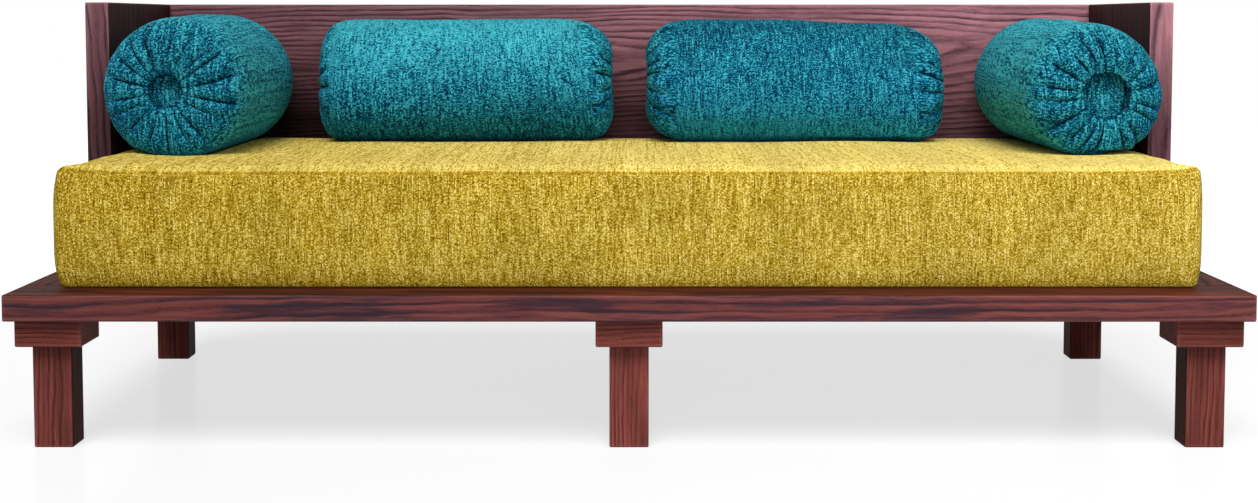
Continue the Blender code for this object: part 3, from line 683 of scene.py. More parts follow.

# %% [markdown]
# ## Bolsters, first as numbers
#
# A bolster is a tube of chenille over a stuffed roll. Its ends are drawn together on a cord, so the cloth
# folds into creases round an opening. The imported nodes give each bolster's middle and size. The mattress
# needs these numbers too, because the bolsters press into it: the height of their undersides is worked out
# here once, and both the hollow and the bolster that lies in it are held to it.
#
# No two bolsters lie alike, so each has its own slump, trim and shoulders at its two ends. Its painted light
# says how much paler or darker the cloth is painted on top, below and on the faces, and cool how much painted
# cool light it has low down.

# %% Bolsters, first as numbers
NARROW = 0.029
WIDE = 0.040
SHOULDER = 0.095
UNDER_SHOULDER = 0.058
UNDER_SLOPE = 1.5
BOLSTERS = {
    "back_left": {
        "axis": 0,
        "seed": 11,
        "openings": (NARROW, NARROW),
        "slumps": ((0.0, -0.004), (0.0, 0.002)),
        "trims": (0.012, 0.0),
        "shoulders": ((0.048, 0.045), (0.108, 0.050)),
        "fuller": 0.0,
        "painted_light": (0.042, -0.045, -0.020),
        "cool": 0.6,
    },
    "back_right": {
        "axis": 0,
        "seed": 46,
        "openings": (NARROW, NARROW),
        "slumps": ((0.0, -0.002), (0.0, -0.018)),
        "trims": (0.0, 0.0),
        "shoulders": ((0.088, 0.100), (0.112, 0.085)),
        "fuller": 0.0,
        "painted_light": (-0.044, 0.018, -0.020),
        "cool": 1.0,
    },
    "end_left": {
        "axis": 1,
        "seed": 37,
        "openings": (NARROW, NARROW),
        "slumps": ((-0.009, -0.006), (0.0, 0.0)),
        "trims": (0.0, 0.0),
        "shoulders": ((0.085, 0.070), (0.080, 0.080)),
        "fuller": 0.008,
        "painted_light": (0.018, 0.010, -0.026),
        "cool": 0.45,
    },
    "end_right": {
        "axis": 1,
        "seed": 53,
        "openings": (WIDE, NARROW),
        "slumps": ((0.025, -0.014), (0.0, 0.0)),
        "trims": (0.0, 0.0),
        "shoulders": ((0.095, 0.070), (0.080, 0.080)),
        "fuller": 0.0,
        "painted_light": (0.032, 0.018, -0.024),
        "cool": 0.6,
    },
}
for name, facts in BOLSTERS.items():
    low, high = (np.array(corner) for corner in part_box(f"bolster_cover_{name}"))
    facts["middle"] = (low + high) / 2
    facts["length"] = (high - low)[facts["axis"]]
    facts["radius"] = (high - low)[2] / 2 + facts["fuller"]
    print(name, "length", round(facts["length"], 3), "radius", round(facts["radius"], 4))


def underside(spots, facts):
    """Height of a bolster's underside over each spot: its axis less the root of the radius squared less the
    distance squared, where the distance also grows past the shoulders at the ends."""
    along, across = (0, 1) if facts["axis"] == 0 else (1, 0)
    middle, radius = facts["middle"], facts["radius"]
    past = np.abs(spots[:, along] - middle[along]) - facts["length"] / 2 + UNDER_SHOULDER
    reach = np.hypot(spots[:, across] - middle[across], UNDER_SLOPE * np.maximum(past, 0.0))
    return middle[2] - np.sqrt(radius**2 - np.minimum(reach, radius) ** 2)


# %% [markdown]
# ## Mattress
#
# One long block of foam in a zipped cover. The cover is a top panel that turns down over the edge, side
# panels below it, and a bottom. A box with a bevel would be quick but lifeless. Here six grids make the
# box, every point is drawn on to a form with rounded edges, and the seam under the edge is sunk. The seam
# and the bottom are pinned while the panels are stuffed. The bolsters then press hollows into the top.
#
# Light and shade are painted into the cloth: the seat is paler, more so to the right, the right end paler
# than the left, and the rounded edge, the upper sides and the foot darker.
# On the seat the cloth is brushed from front to back, so its flecks are drawn out that way.

# %% Box of six grids
EDGE_STEPS = 6
SEAM_REACH = 0.0032


def box_lines(half, edge, cell):
    """Grid lines along one axis of a box: even cells over the flat middle, equal turns round the edge, and
    a close line beside the seam where the edge begins."""
    flat = half - edge
    close = flat - SEAM_REACH
    middle = np.linspace(-close, close, max(round(2 * close / cell), 2) + 1)
    turn = flat + edge * np.tan(np.linspace(0.0, math.pi / 4, EDGE_STEPS + 1))
    return np.concatenate([-turn[::-1], middle, turn])


def box_panels(half, edge, cell):
    """The six faces of a box as grids: their points, their cells, and each cell corner's place on its panel.
    The top panel runs on over its edges as far as the seam. Points that panels share are made one."""
    lines = [box_lines(side, edge, cell) for side in half]
    points, cells, cloth = [], [], []
    count = 0
    for axis in range(3):
        first, second = (other for other in range(3) if other != axis)
        u, v = np.meshgrid(lines[first], lines[second], indexing="ij")
        corner_cells, rows, columns = grid_cells(*u.shape)
        place = np.stack([lines[first][rows], lines[second][columns]], axis=-1)
        folded = place[:, :, 1].min(axis=1, keepdims=True) > half[2] - edge - 1e-6
        down = half[2] - place[:, :, 1]
        for side in (-1, 1):
            panel = np.empty((u.size, 3))
            panel[:, first], panel[:, second], panel[:, axis] = u.ravel(), v.ravel(), side * half[axis]
            run_on = side * (half[axis] + down)
            own = place.copy()
            if axis == 0:
                own = np.where(folded[:, :, None], np.stack([run_on, place[:, :, 0]], axis=-1), place)
            elif axis == 1:
                own[:, :, 1] = np.where(folded, run_on, place[:, :, 1])
            outwards = side * (-1 if axis == 1 else 1)
            points.append(panel)
            cells.append(corner_cells[:, ::outwards] + count)
            cloth.append(own[:, ::outwards])
            count += u.size
    points, merged = np.unique(np.round(np.concatenate(points), 6), axis=0, return_inverse=True)
    return points, merged.ravel()[np.concatenate(cells)], np.concatenate(cloth)


# %% Mattress form
MATTRESS_LENGTH = 1.9085
MATTRESS_HEIGHT = 0.197
MATTRESS_EDGE = 0.009
MATTRESS_CELL = 0.0145
LOWER_EDGE_POWER = 4.0
SEAM_DEPTH = 0.0006
PANEL_PUFF = 0.005
PAINTED_SEAT_LIGHT = 0.064
SEAT_LEAN = 0.30
SEAT_FROM = 0.75
PAINTED_RIGHT_LIGHT = 0.010
PAINTED_EDGE_SHADE = 0.036
PAINTED_UPPER_SHADE = 0.014
PAINTED_MATTRESS_FOOT_SHADE = 0.030
FOOT_FROM = 0.8
BRUSHED = 0.09
BRUSHED_FROM = 0.016
BRUSHED_BLEND = 0.008


def soft_clip(value, limit, blend):
    """A value held between minus and plus a limit, turning over a blend: the difference of two soft ramps."""
    ramps = np.logaddexp(0.0, (value + limit) / blend) - np.logaddexp(0.0, (value - limit) / blend)
    return blend * ramps - limit


def round_edges(points, half, edge):
    """Each point's nearest point in the box shrunk by the edge, plus a way out of the edge's length. The
    length is a sum of powers, so an edge is a quarter circle above and squarer the more it faces down."""
    core = np.clip(points, edge - half, half - edge)
    out = points - core
    facing_down = np.clip(-out[:, 2:] / np.linalg.norm(out, axis=1, keepdims=True), 0.0, 1.0)
    power = 2.0 + (LOWER_EDGE_POWER - 2.0) * np.sqrt(facing_down)
    length = (np.abs(out) ** power).sum(axis=1, keepdims=True) ** (1.0 / power)
    return core + edge * out / length, out


cover_low, cover_high = (np.array(corner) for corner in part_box("mattress_cover"))
depth = cover_high[1] - cover_low[1]
half = np.array([MATTRESS_LENGTH - 2 * PANEL_PUFF, depth - PANEL_PUFF, MATTRESS_HEIGHT]) / 2
mattress_middle = np.array([0.0, cover_low[1] + half[1], cover_low[2] + half[2]])
flat_points, cells, cloth = box_panels(half, MATTRESS_EDGE, MATTRESS_CELL)
rounded, out = round_edges(flat_points, half, MATTRESS_EDGE)
aside = out * (1.0, 1.0, 0.0)
aside /= np.maximum(np.linalg.norm(aside, axis=1, keepdims=True), 1e-9)
on_sides = (np.abs(flat_points[:, :2]) > half[:2] - 1e-6).any(axis=1)
from_seam = flat_points[:, 2] - (half[2] - MATTRESS_EDGE)
sunk = on_sides * SEAM_DEPTH * np.exp(-((from_seam / SEAM_REACH) ** 2))
on_seat = flat_points[cells][:, :, 2].min(axis=1) > half[2] - MATTRESS_EDGE - 1e-6
flat_run = soft_clip(cloth[on_seat, :, 1], half[1] - BRUSHED_FROM, BRUSHED_BLEND)
cloth[on_seat, :, 1] -= (1.0 - BRUSHED) * flat_run
# Painted light and shade, kept as a mark on the points: paler on the seat and towards the right end, darker
# round the top edge, high on the sides and at the foot.
facing_up = np.clip(out[:, 2] / np.linalg.norm(out, axis=1), 0.0, 1.0)
share = flat_points / half
painted_light = PAINTED_SEAT_LIGHT * ease((facing_up - SEAT_FROM) / (1.0 - SEAT_FROM)) * (1.0 + SEAT_LEAN * share[:, 0])
painted_light += PAINTED_RIGHT_LIGHT * share[:, 0]
painted_light -= 2.0 * PAINTED_EDGE_SHADE * facing_up * np.sqrt(1.0 - facing_up**2)
painted_light -= PAINTED_UPPER_SHADE * (1.0 - facing_up) * (1.0 + share[:, 2]) / 2
painted_light -= PAINTED_MATTRESS_FOOT_SHADE * ease((-share[:, 2] - FOOT_FROM) / (1.0 - FOOT_FROM))
sides = rounded - aside * sunk[:, None] + mattress_middle
mattress = make_piece("mattress", sides, cells, mustard, cloth, {"painted_light": painted_light})
sewn = on_sides & (np.abs(from_seam) < 1e-5)
underneath = flat_points[:, 2] < 1e-6 - half[2]
print("mattress:", len(cells), "cells,", int(sewn.sum()), "sewn points")
stuff(mattress, sewn | underneath, PANEL_PRESSURE, PANEL_PUFF)

# %% Mattress crown, hollows and softness
MATTRESS_CROWN = 0.001
RIM_LIFT = 0.008
SOFTNESS = 0.0012
BELLY = 0.0015
TUCK = 0.003
TUCK_HEIGHT = 0.026
REST_GAP = 0.0007
HOLLOW_BLEND = 0.0025
ZIP_HEIGHT = 0.315
ZIP_HALF_LENGTH = 0.80
ZIP_RECESS = 0.0048
ZIP_VALLEY = 0.028
FLARE = {-1: 0.011, 1: 0.006}
FLARE_BEHIND = -0.06
FLARE_RUN = 0.16


def ripples(first, second, seed, waves, longest, shortest):
    """Gentle unevenness over two coordinates: a sum of sines whose lengths lie between two bounds."""
    draw = np.random.default_rng(seed)
    lengths = draw.uniform(shortest, longest, waves)
    turns = draw.uniform(0.0, math.tau, waves)
    starts = draw.uniform(0.0, math.tau, waves)
    walk = first[:, None] * np.cos(turns) + second[:, None] * np.sin(turns)
    return np.sin(math.tau * walk / lengths + starts).sum(axis=1) / math.sqrt(waves)


points = read_points(mattress.data)
across, deep, high_share = np.clip((points - mattress_middle) / half, -1.0, 1.0).T
on_top = ease((high_share - 0.6) / 0.4)
crown = MATTRESS_CROWN * (1.0 - across**8) * (1.0 - deep**8) + RIM_LIFT * across**20
softness = SOFTNESS * ripples(points[:, 0], points[:, 1], 5, 14, 0.50, 0.14) * (1.0 - deep**8)
height = points[:, 2] + on_top * (crown + softness)
for facts in BOLSTERS.values():
    pressed = underside(points, facts) - REST_GAP
    lowered = -HOLLOW_BLEND * np.logaddexp(-height / HOLLOW_BLEND, -pressed / HOLLOW_BLEND)
    height += on_top * (lowered - height)
points[:, 2] = np.maximum(height, cover_low[2])
forward = ease((FLARE_BEHIND - points[:, 1]) / FLARE_RUN)
flare = np.where(points[:, 0] < 0, FLARE[-1], FLARE[1]) * (1.0 - high_share**4) * forward
points[:, 0] += np.sign(points[:, 0]) * np.abs(across) ** 8 * flare
belly = BELLY * ripples(points[:, 0], points[:, 2], 8, 10, 0.60, 0.20) * (1.0 - high_share**2)
tuck = TUCK * np.clip((cover_low[2] + TUCK_HEIGHT - points[:, 2]) / TUCK_HEIGHT, 0.0, 1.0) ** 2
points[:, 0] -= np.sign(points[:, 0]) * np.abs(across) ** 8 * tuck
points[:, 1] -= (belly - tuck) * (deep < -0.9)
past_zip = np.maximum(np.abs(points[:, 0]) - ZIP_HALF_LENGTH, 0.0)
from_zip = np.hypot(points[:, 2] - ZIP_HEIGHT, past_zip) / ZIP_VALLEY
valley = cover_high[1] - ZIP_RECESS * np.exp(-(from_zip**4))
points[:, 1] = np.minimum(points[:, 1], valley)
set_points(mattress, points)
round_off(mattress)
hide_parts("mattress_cover", "mattress_foam")
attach(mattress, "mattress")
print("mattress from", points.min(axis=0).round(4), "to", points.max(axis=0).round(4))

# %% [markdown]
# ## Bolster covers
#
# The cover is one closed skin: over the barrel, in over both faces to the rims of the openings, round the
# hems, and back inside as a lining. A face that is only turned on a lathe looks like a lid. So the grid's
# columns are laid along the folds: a column lies in every crease, others crowd beside it, and each crease
# has its own place, length, depth and lean. Stuffing then puffs the cloth out between the creases.

# %% Meridian of a bolster cover
FACE_RINGS = 26
BARREL_RINGS = 22
HEM_RINGS = 4
LINING_FACE_RINGS = 12
LINING_BARREL_RINGS = 4
DISH = 0.012
COVER_CLOTH = 0.0040
HEM = 0.006
SLACK = 0.0035
QUARTER = math.pi / 2


def face_drop(lift):
    """How far a face lies below its pole: it dips to the rim and rolls back to the shoulder."""
    return DISH * (1 - np.sin(lift)) ** 3 + SHOULDER * (1 - np.cos(lift))


FACE_CREST = face_drop(np.linspace(0.0, QUARTER, 100)).min()


def face_curve(lift, opening, radius, half_length):
    """How far out along the axis a face lies, and how far from the axis, for a lift that grows from 0 at the
    rim to a quarter turn at the shoulder: the radius follows its sine, and the crest of the face is at the
    bolster's length."""
    along = half_length + FACE_CREST - face_drop(lift)
    return np.stack([along, opening + (radius - opening) * np.sin(lift)], axis=-1)


def face_stations(lift, *sizes):
    """Points of a face's curve and the outward normals there, from the slope over a small step."""
    slope = face_curve(lift + 1e-4, *sizes) - face_curve(lift - 1e-4, *sizes)
    normal = np.stack([slope[:, 1], -slope[:, 0]], axis=-1)
    return face_curve(lift, *sizes), normal / np.linalg.norm(normal, axis=1, keepdims=True)


def cover_half(opening, radius, half_length):
    """One end of the meridian, from the middle of the barrel out over the face, round the hem and back along
    the lining: columns of place along and from the axis, normal along and from it, and lift."""
    lift = np.linspace(QUARTER, 0.0, FACE_RINGS)
    face, face_normal = face_stations(lift, opening, radius, half_length)
    straight = half_length + FACE_CREST - SHOULDER
    barrel = np.linspace(0.0, straight, BARREL_RINGS // 2 + 1)[:-1]
    turn = np.linspace(0.0, math.pi, HEM_RINGS + 2)[1:-1]
    hem = face[-1] + HEM / 2 * np.stack([np.cos(turn) - 1.0, -np.sin(turn)], axis=-1)
    back_lift = np.linspace(0.0, QUARTER, LINING_FACE_RINGS)
    lining, lining_normal = face_stations(back_lift, opening, radius, half_length)
    depth = COVER_CLOTH + (HEM - COVER_CLOTH) * (1 - np.sin(back_lift)) ** 4
    inner = np.linspace(straight, 0.0, LINING_BARREL_RINGS + 2)[1:-1]
    level = np.array([[0.0, 1.0]])
    barrel_places = np.stack([barrel, np.full_like(barrel, radius)], axis=-1)
    inner_places = np.stack([inner, np.full_like(inner, radius - COVER_CLOTH)], axis=-1)
    lining = lining - lining_normal * depth[:, None]
    place = np.concatenate([barrel_places, face, hem, lining, inner_places])
    barrel_normals, inner_normals = (level.repeat(len(rings), axis=0) for rings in (barrel, inner))
    hem_normals = face_normal[-1:].repeat(len(turn), axis=0)
    normal = np.concatenate([barrel_normals, face_normal, hem_normals, lining_normal, inner_normals])
    barrel_lift, inner_lift = (np.full_like(rings, QUARTER) for rings in (barrel, inner))
    lifts = np.concatenate([barrel_lift, lift, np.zeros_like(turn), back_lift, inner_lift])
    outer = np.arange(len(place)) < len(barrel) + len(face)
    return place, normal, lifts, outer


# %% Folds of a bolster cover
FOLDS = 18
FOLD_COLUMNS = 11
FOLD_CROWDING = 0.6
FOLD_DEPTH = 0.0130
FOLD_SHARPNESS = 0.30
FOLD_PUFF = 0.0035
FOLD_CLOSING = 0.0015
FOLD_MOUTH = 0.30
FOLD_RISE = 0.25
FOLD_FALL = 0.45
SEWN_FOLD = 0.15
LUMP = 0.0016
SLUMP_FADE = 0.16
SLUMP_RUN = 0.4
SHOULDER_STAY = 0.5
FACE_BLEND = 0.8
FLAT_CLOTH = 1.25
PAINTED_CREASE_SHADE = -0.12
CREASE_WIDTH = 0.0019
END_BRUSHED = 0.22
PAINTED_LINING_SHADE = -0.09
PAINTED_COOL_POWER = 1.9
PAINTED_COOL_FROM = 0.3
PAINTED_COOL_BLEND = 0.6


def draw_folds(draw):
    """Uneven creases round one face: where each starts, how far it leans, how deep it is and how far it
    runs towards the shoulder."""
    spacing = math.tau / FOLDS
    return {
        "angle": spacing * (np.arange(FOLDS) + draw.uniform(-0.24, 0.24, FOLDS)),
        "lean": spacing * draw.uniform(-0.30, 0.30, FOLDS),
        "depth": FOLD_DEPTH * draw.uniform(0.30, 1.0, FOLDS),
        "end": draw.uniform(0.75, 1.50, FOLDS),
        "start": draw.uniform(0.0, 0.26, FOLDS),
    }


def fold_lines(folds, lift):
    """The angle and the depth of each crease at each station of a face. A crease bends with the lift, rises
    quickly from its start and fades before its end."""
    lift = lift[:, None]
    angle = folds["angle"] + folds["lean"] * (lift / QUARTER) ** 1.3
    rise = FOLD_MOUTH + (1.0 - FOLD_MOUTH) * ease((lift - folds["start"]) / FOLD_RISE)
    fall = 1.0 - ease((lift - folds["end"] + FOLD_FALL) / FOLD_FALL)
    return angle, folds["depth"] * rise * fall


def slump_share(rise, along, barrel_half):
    """How much of an end's slump a point takes: all of it at the pole, where the rise is 0, half of it at the
    shoulder, where the rise is 1, and less and less along the barrel to none at its middle."""
    fade = np.exp(-((np.maximum(barrel_half - along, 0.0) / SLUMP_FADE) ** 2))
    return (1.0 - SHOULDER_STAY * rise**1.5) * fade * ease(along / barrel_half / SLUMP_RUN)


def lumps(along, angle, seed):
    """Soft lumps of the filling: waves with whole numbers of turns round the axis and any length along it."""
    draw = np.random.default_rng(seed)
    total = np.zeros_like(angle)
    for turns in (1, 2, 2, 3, 3, 4, 5):
        length, start = draw.uniform(0.16, 0.60), draw.uniform(0.0, math.tau)
        total += np.cos(turns * angle + math.tau * along / length + start) / math.sqrt(7 * turns)
    return LUMP * total


def cover_points(facts):
    """All points of a cover as a grid of stations by columns, which of them are sewn, its cells, the cloth
    coordinates on them, and the marks at the points. A point lies at its station's distance from the axis,
    turned by its column's angle, and moves along the station's normal by the lumps and the puff between
    creases, less the creases' depth. The two ends' creases are joined over the barrel."""
    draw = np.random.default_rng(facts["seed"])
    radius = facts["radius"] - SLACK
    ends = []
    for end, side in enumerate((-1, 1)):
        slump, shoulders = facts["slumps"][end], facts["shoulders"][end]
        half_length = facts["length"] / 2 - facts["trims"][end]
        place, normal, lift, outer = cover_half(facts["openings"][end] + HEM / 2, radius, half_length)
        angle, depth = fold_lines(draw_folds(draw), lift)
        barrel_half = half_length + FACE_CREST - SHOULDER
        sway = slump_share(lift / QUARTER, place[:, 0], barrel_half)
        run = np.clip(place[:, 0] / barrel_half, 0.0, 1.0)
        blend = 0.5 * (1 - ease(run))[:, None]
        stretch = side * (SHOULDER - np.array(shoulders)) * (run * (1 - np.cos(lift)))[:, None]
        section = [side * place[:, 0], place[:, 1], side * normal[:, 0], normal[:, 1], lift, outer]
        ends.append([*section, angle, depth, sway[:, None] * slump, stretch, blend])
    low_end, high_end = ends
    apart = high_end[6][:1] - low_end[6][:1]
    low_end[6] = low_end[6] + low_end[-1] * apart
    high_end[6] = high_end[6] - high_end[-1] * apart
    joined = [np.concatenate([low[::-1], high[1:]]) for low, high in zip(low_end, high_end)]
    along, away, out_along, out_away, lift, outer, angle, depth, sway, stretch, _ = joined

    steps = np.arange(FOLD_COLUMNS) / FOLD_COLUMNS
    steps = steps - FOLD_CROWDING / math.tau * np.sin(math.tau * steps)
    column = np.arange(FOLDS * FOLD_COLUMNS)
    fold, step = column // FOLD_COLUMNS, steps[column % FOLD_COLUMNS]
    angle = np.concatenate([angle, angle[:, :1] + math.tau], axis=1)
    depth = np.concatenate([depth, depth[:, :1]], axis=1)
    share = ease(step)
    own_depth = (1 - share) * depth[:, fold] + share * depth[:, fold + 1]
    turn = (1 - step) * angle[:, fold] + step * angle[:, fold + 1] - QUARTER
    turn = turn - FOLD_CLOSING * np.sin(math.tau * step) * own_depth / FOLD_DEPTH / away[:, None]
    puff = FOLD_PUFF * np.sin(math.pi * step) * np.sin(2 * lift[:, None]) ** 2
    raised = puff - own_depth * (1 - np.sin(math.pi * step) ** FOLD_SHARPNESS)
    raised += lumps(along[:, None], turn, facts["seed"])
    top_share = (1 + np.sin(turn)) / 2
    stretched = stretch[:, 1:] + top_share * (stretch[:, :1] - stretch[:, 1:])
    far = along[:, None] + raised * out_along[:, None] + stretched
    wide = away[:, None] + raised * out_away[:, None]
    grid = np.empty((*turn.shape, 3))
    grid[:, :, facts["axis"]] = facts["middle"][facts["axis"]] + far
    grid[:, :, 1 - facts["axis"]] = facts["middle"][1 - facts["axis"]] + wide * np.cos(turn) + sway[:, :1]
    grid[:, :, 2] = facts["middle"][2] + wide * np.sin(turn) + sway[:, 1:]
    in_crease = (step == 0.0) & (own_depth > SEWN_FOLD * FOLD_DEPTH)
    sewn = in_crease | ~outer[:, None]
    # Painted light and shade: each bolster is painted paler or darker on top, below and on its faces.
    top_light, bottom_light, face_light = facts["painted_light"]
    painted_light = bottom_light + (top_light - bottom_light) * top_share
    painted_light = painted_light + (face_light - painted_light) * ease((QUARTER - lift) / FACE_BLEND)[:, None]
    # Painted shade along each crease, darker the deeper the crease.
    from_crease = np.minimum(step, 1 - step) * math.tau / FOLDS * away[:, None] / CREASE_WIDTH
    painted_light = painted_light + PAINTED_CREASE_SHADE * own_depth / FOLD_DEPTH * np.exp(-(from_crease**2))
    # Painted shade on the hem and the lining inside the opening.
    painted_light = np.where(outer[:, None], painted_light, PAINTED_LINING_SHADE)
    # Painted cool light low on the barrel, against the warm light from the seat.
    on_barrel = ease((lift - PAINTED_COOL_FROM) / PAINTED_COOL_BLEND)[:, None]
    painted_cool_light = facts["cool"] * (1 - top_share) ** PAINTED_COOL_POWER * on_barrel

    cells, rows, columns = grid_cells(*turn.shape, rows_close=True, columns_close=True)
    path = np.stack([along, away], axis=-1)
    arc = np.concatenate([[0.0], np.linalg.norm(np.roll(path, -1, axis=0) - path, axis=1).cumsum()])
    round_it = np.concatenate([fold + step, [FOLDS]]) * math.tau / FOLDS * facts["radius"]
    if facts["axis"] == 0:
        cloth = np.stack([arc[rows], round_it[columns]], axis=-1)
    else:
        cloth = np.stack([round_it[columns], END_BRUSHED * arc[rows]], axis=-1)
    disc = np.stack([wide * np.cos(turn), wide * np.sin(turn)], axis=-1).reshape(-1, 2)
    on_face = lift[rows % len(lift)].mean(axis=1) < FLAT_CLOTH
    cloth[on_face] = disc[cells[on_face]]
    return grid.reshape(-1, 3), sewn.ravel(), cells, cloth, {"painted_light": painted_light.ravel(), "painted_cool_light": painted_cool_light.ravel()}


# %% Bolster covers
TOP_LIMIT = 0.4725
ARM_FACE = 0.9553
ARM_FRONT = -0.062
ARM_BLEND = 0.02
COVER_GROWTH = 0.001
NESTLE = 0.004


def settle(points, facts):
    """Holds a bolster in its hollow and clear of the arms: no point is lower than the underside or, past it,
    than the mattress, points just above it sink on to it, and none beside an arm is wider than its face."""
    floor_height = np.minimum(underside(points, facts), TOP_LIMIT)
    above = np.maximum(points[:, 2] - floor_height, 0.0)
    points[:, 2] = floor_height + above * (1.0 - np.exp(-above / NESTLE))
    beside = ease((points[:, 1] - ARM_FRONT) / ARM_BLEND)
    limit = ARM_FACE + (1 - beside) * ARM_BLEND
    points[:, 0] = np.clip(points[:, 0], -limit, limit)
    return points


for name, facts in BOLSTERS.items():
    points, sewn, cells, cloth, marks = cover_points(facts)
    cover = make_piece(f"bolster_{name}", points, cells, teal, cloth, marks)
    stuff(cover, sewn, COVER_PRESSURE, SLACK + COVER_GROWTH)
    set_points(cover, settle(read_points(cover.data), facts))
    round_off(cover)
    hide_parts(f"bolster_cover_{name}")
    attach(cover, f"bolster_{name}")
    print(cover.name, len(cells), "cells")

# %% [markdown]
# ## Inner cushions
#
# Through the openings one sees the stuffed roll inside, a little below the hem, in the same cloth. A lathe
# would give it a pole with pinched faces. Here the six grids of a box are drawn on to a round roll: a
# square becomes a disc by shortening each coordinate with the other, so the domed ends are even grids that
# can hold a few wrinkles.

# %% Inner cushions
INSERT_CELL = 0.0075
INSERT_EDGE = 0.012
INSERT_CLEARANCE = 0.0125
INSERT_RECESS = 0.025
INSERT_LIFT = 0.0065
DOME = 0.100
DOME_POWER = 2.2
WRINKLES = 5
WRINKLE_DEPTH = 0.0035
WRINKLE_WIDTH = 0.0035
WRINKLE_LENGTH = 0.022
WRINKLE_BEND = 6.0
WRINKLE_SPREAD = 0.018


def wrinkles(u, v, seed):
    """Short bent valleys over a disc: each is a Gaussian across its own line and along it."""
    draw = np.random.default_rng(seed)
    turn = draw.uniform(0.0, math.pi, WRINKLES)
    offset = draw.uniform(-WRINKLE_SPREAD, WRINKLE_SPREAD, (2, WRINKLES))
    along = (u[:, None] - offset[0]) * np.cos(turn) + (v[:, None] - offset[1]) * np.sin(turn)
    across = (v[:, None] - offset[1]) * np.cos(turn) - (u[:, None] - offset[0]) * np.sin(turn)
    bend = (across - WRINKLE_BEND * along**2) / WRINKLE_WIDTH
    return WRINKLE_DEPTH * np.exp(-(bend**2) - (along / WRINKLE_LENGTH) ** 2).sum(axis=1)


def insert_points(facts):
    """A roll with domed ends. With s the share of the radius and p the dome's power, an end drops by DOME
    times 1 - (1 - s^p)^(1/p). The roll takes its cover's slump and stays clear of the cover underneath."""
    radius, half_length = facts["radius"] - INSERT_CLEARANCE, facts["length"] / 2
    half = np.array([half_length, radius, radius])
    box, cells, cloth = box_panels(half, INSERT_EDGE, INSERT_CELL)
    u, v = box[:, 1] / radius, box[:, 2] / radius
    across, up = u * np.sqrt(1 - v**2 / 2), v * np.sqrt(1 - u**2 / 2)
    share = np.clip(np.hypot(across, up), 0.0, 1.0)
    drop = DOME * (1 - (1 - share**DOME_POWER) ** (1 / DOME_POWER))
    peak = half_length - INSERT_RECESS
    on_end = np.abs(box[:, 0]) > half_length - 1e-6
    side = np.sign(box[:, 0])
    lowered = wrinkles(across * radius, up * radius, facts["seed"] + 1)
    far = np.where(on_end, side * (peak - drop - lowered), box[:, 0] / half_length * (peak - DOME))
    points = np.empty_like(box)
    points[:, facts["axis"]] = far
    points[:, 1 - facts["axis"]] = across * radius
    points[:, 2] = up * radius
    sway = slump_share(np.arcsin(share) / QUARTER, np.abs(far), half_length + FACE_CREST - SHOULDER)
    slump = np.where(far[:, None] < 0, *facts["slumps"]) * sway[:, None]
    points[:, 1 - facts["axis"]] += slump[:, 0]
    points[:, 2] += slump[:, 1]
    points += facts["middle"]
    points[:, 2] = np.maximum(points[:, 2], underside(points, facts) + INSERT_LIFT)
    return points, cells, cloth


for name, facts in BOLSTERS.items():
    points, cells, cloth = insert_points(facts)
    # Painted shade: the inner roll takes the painted shade of its bolster's faces.
    painted_light = np.full(len(points), facts["painted_light"][2])
    insert = make_piece(f"bolster_insert_{name}_roll", points, cells, teal, cloth, {"painted_light": painted_light})
    round_off(insert)
    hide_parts(f"bolster_insert_{name}")
    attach(insert, f"bolster_{name}")
print("inner cushions:", len(BOLSTERS), "of", len(cells), "cells")

# %% [markdown]
# ## Zip in the back of the mattress
#
# The cover comes off through a long zip low on its back. A zip is a woven tape, two rows of brass teeth that
# lock into each other, and a slider with a pull. Each of these is a small closed outline carried along a
# straight path: the outline goes out along one side and comes back along the other, so its ends can be
# closed with a ladder of cells between the two sides. One tooth is made once and repeated as an array.

# %% Outlines carried along a path
ZIP_FACE = 0.4313
TAPE_THICKNESS = 0.0013
TAPE_WIDTH = 0.0192
TAPE_STATIONS = 81
WEAVE_CELLS = (2600.0, 300.0, 1700.0)
TAPE_TONES = [(0.3, (0.150, 0.090, 0.006)), (0.7, (0.330, 0.215, 0.020))]


def signed_power(value, power):
    """A value's size raised to a power, with its sign kept."""
    return np.sign(value) * np.abs(value) ** power


def oval(wide, thick, squareness, count):
    """A rounded rectangle: sine and cosine of a turn, each raised to 2 / squareness, with no point at the
    tips."""
    turn = (np.arange(count) + 0.5) * math.tau / count
    up, across = (signed_power(part(turn), 2.0 / squareness) for part in (np.sin, np.cos))
    return np.stack([up * thick / 2, across * wide / 2], axis=-1)


def carry(outline, stations, widths):
    """An outline of (y, z) points at every station along x, its z scaled by the width there: points and
    cells. Point i of the outline faces point count - 1 - i, and the ends are closed between them."""
    rows, columns = len(stations), len(outline)
    points = np.empty((rows, columns, 3))
    points[:, :, 0] = stations[:, None]
    points[:, :, 1] = outline[:, 0]
    points[:, :, 2] = outline[:, 1] * widths[:, None]
    sides = grid_cells(rows, columns, columns_close=True)[0]
    step = np.arange(columns // 2 - 1)
    ladder = np.stack([step, step + 1, columns - 2 - step, columns - 1 - step], axis=-1)
    return points.reshape(-1, 3), np.concatenate([sides, ladder, ladder[:, ::-1] + (rows - 1) * columns])


def zip_place(points):
    """Points given from the middle of the zip's face, moved to the back of the mattress."""
    return points + (0.0, ZIP_FACE, ZIP_HEIGHT)


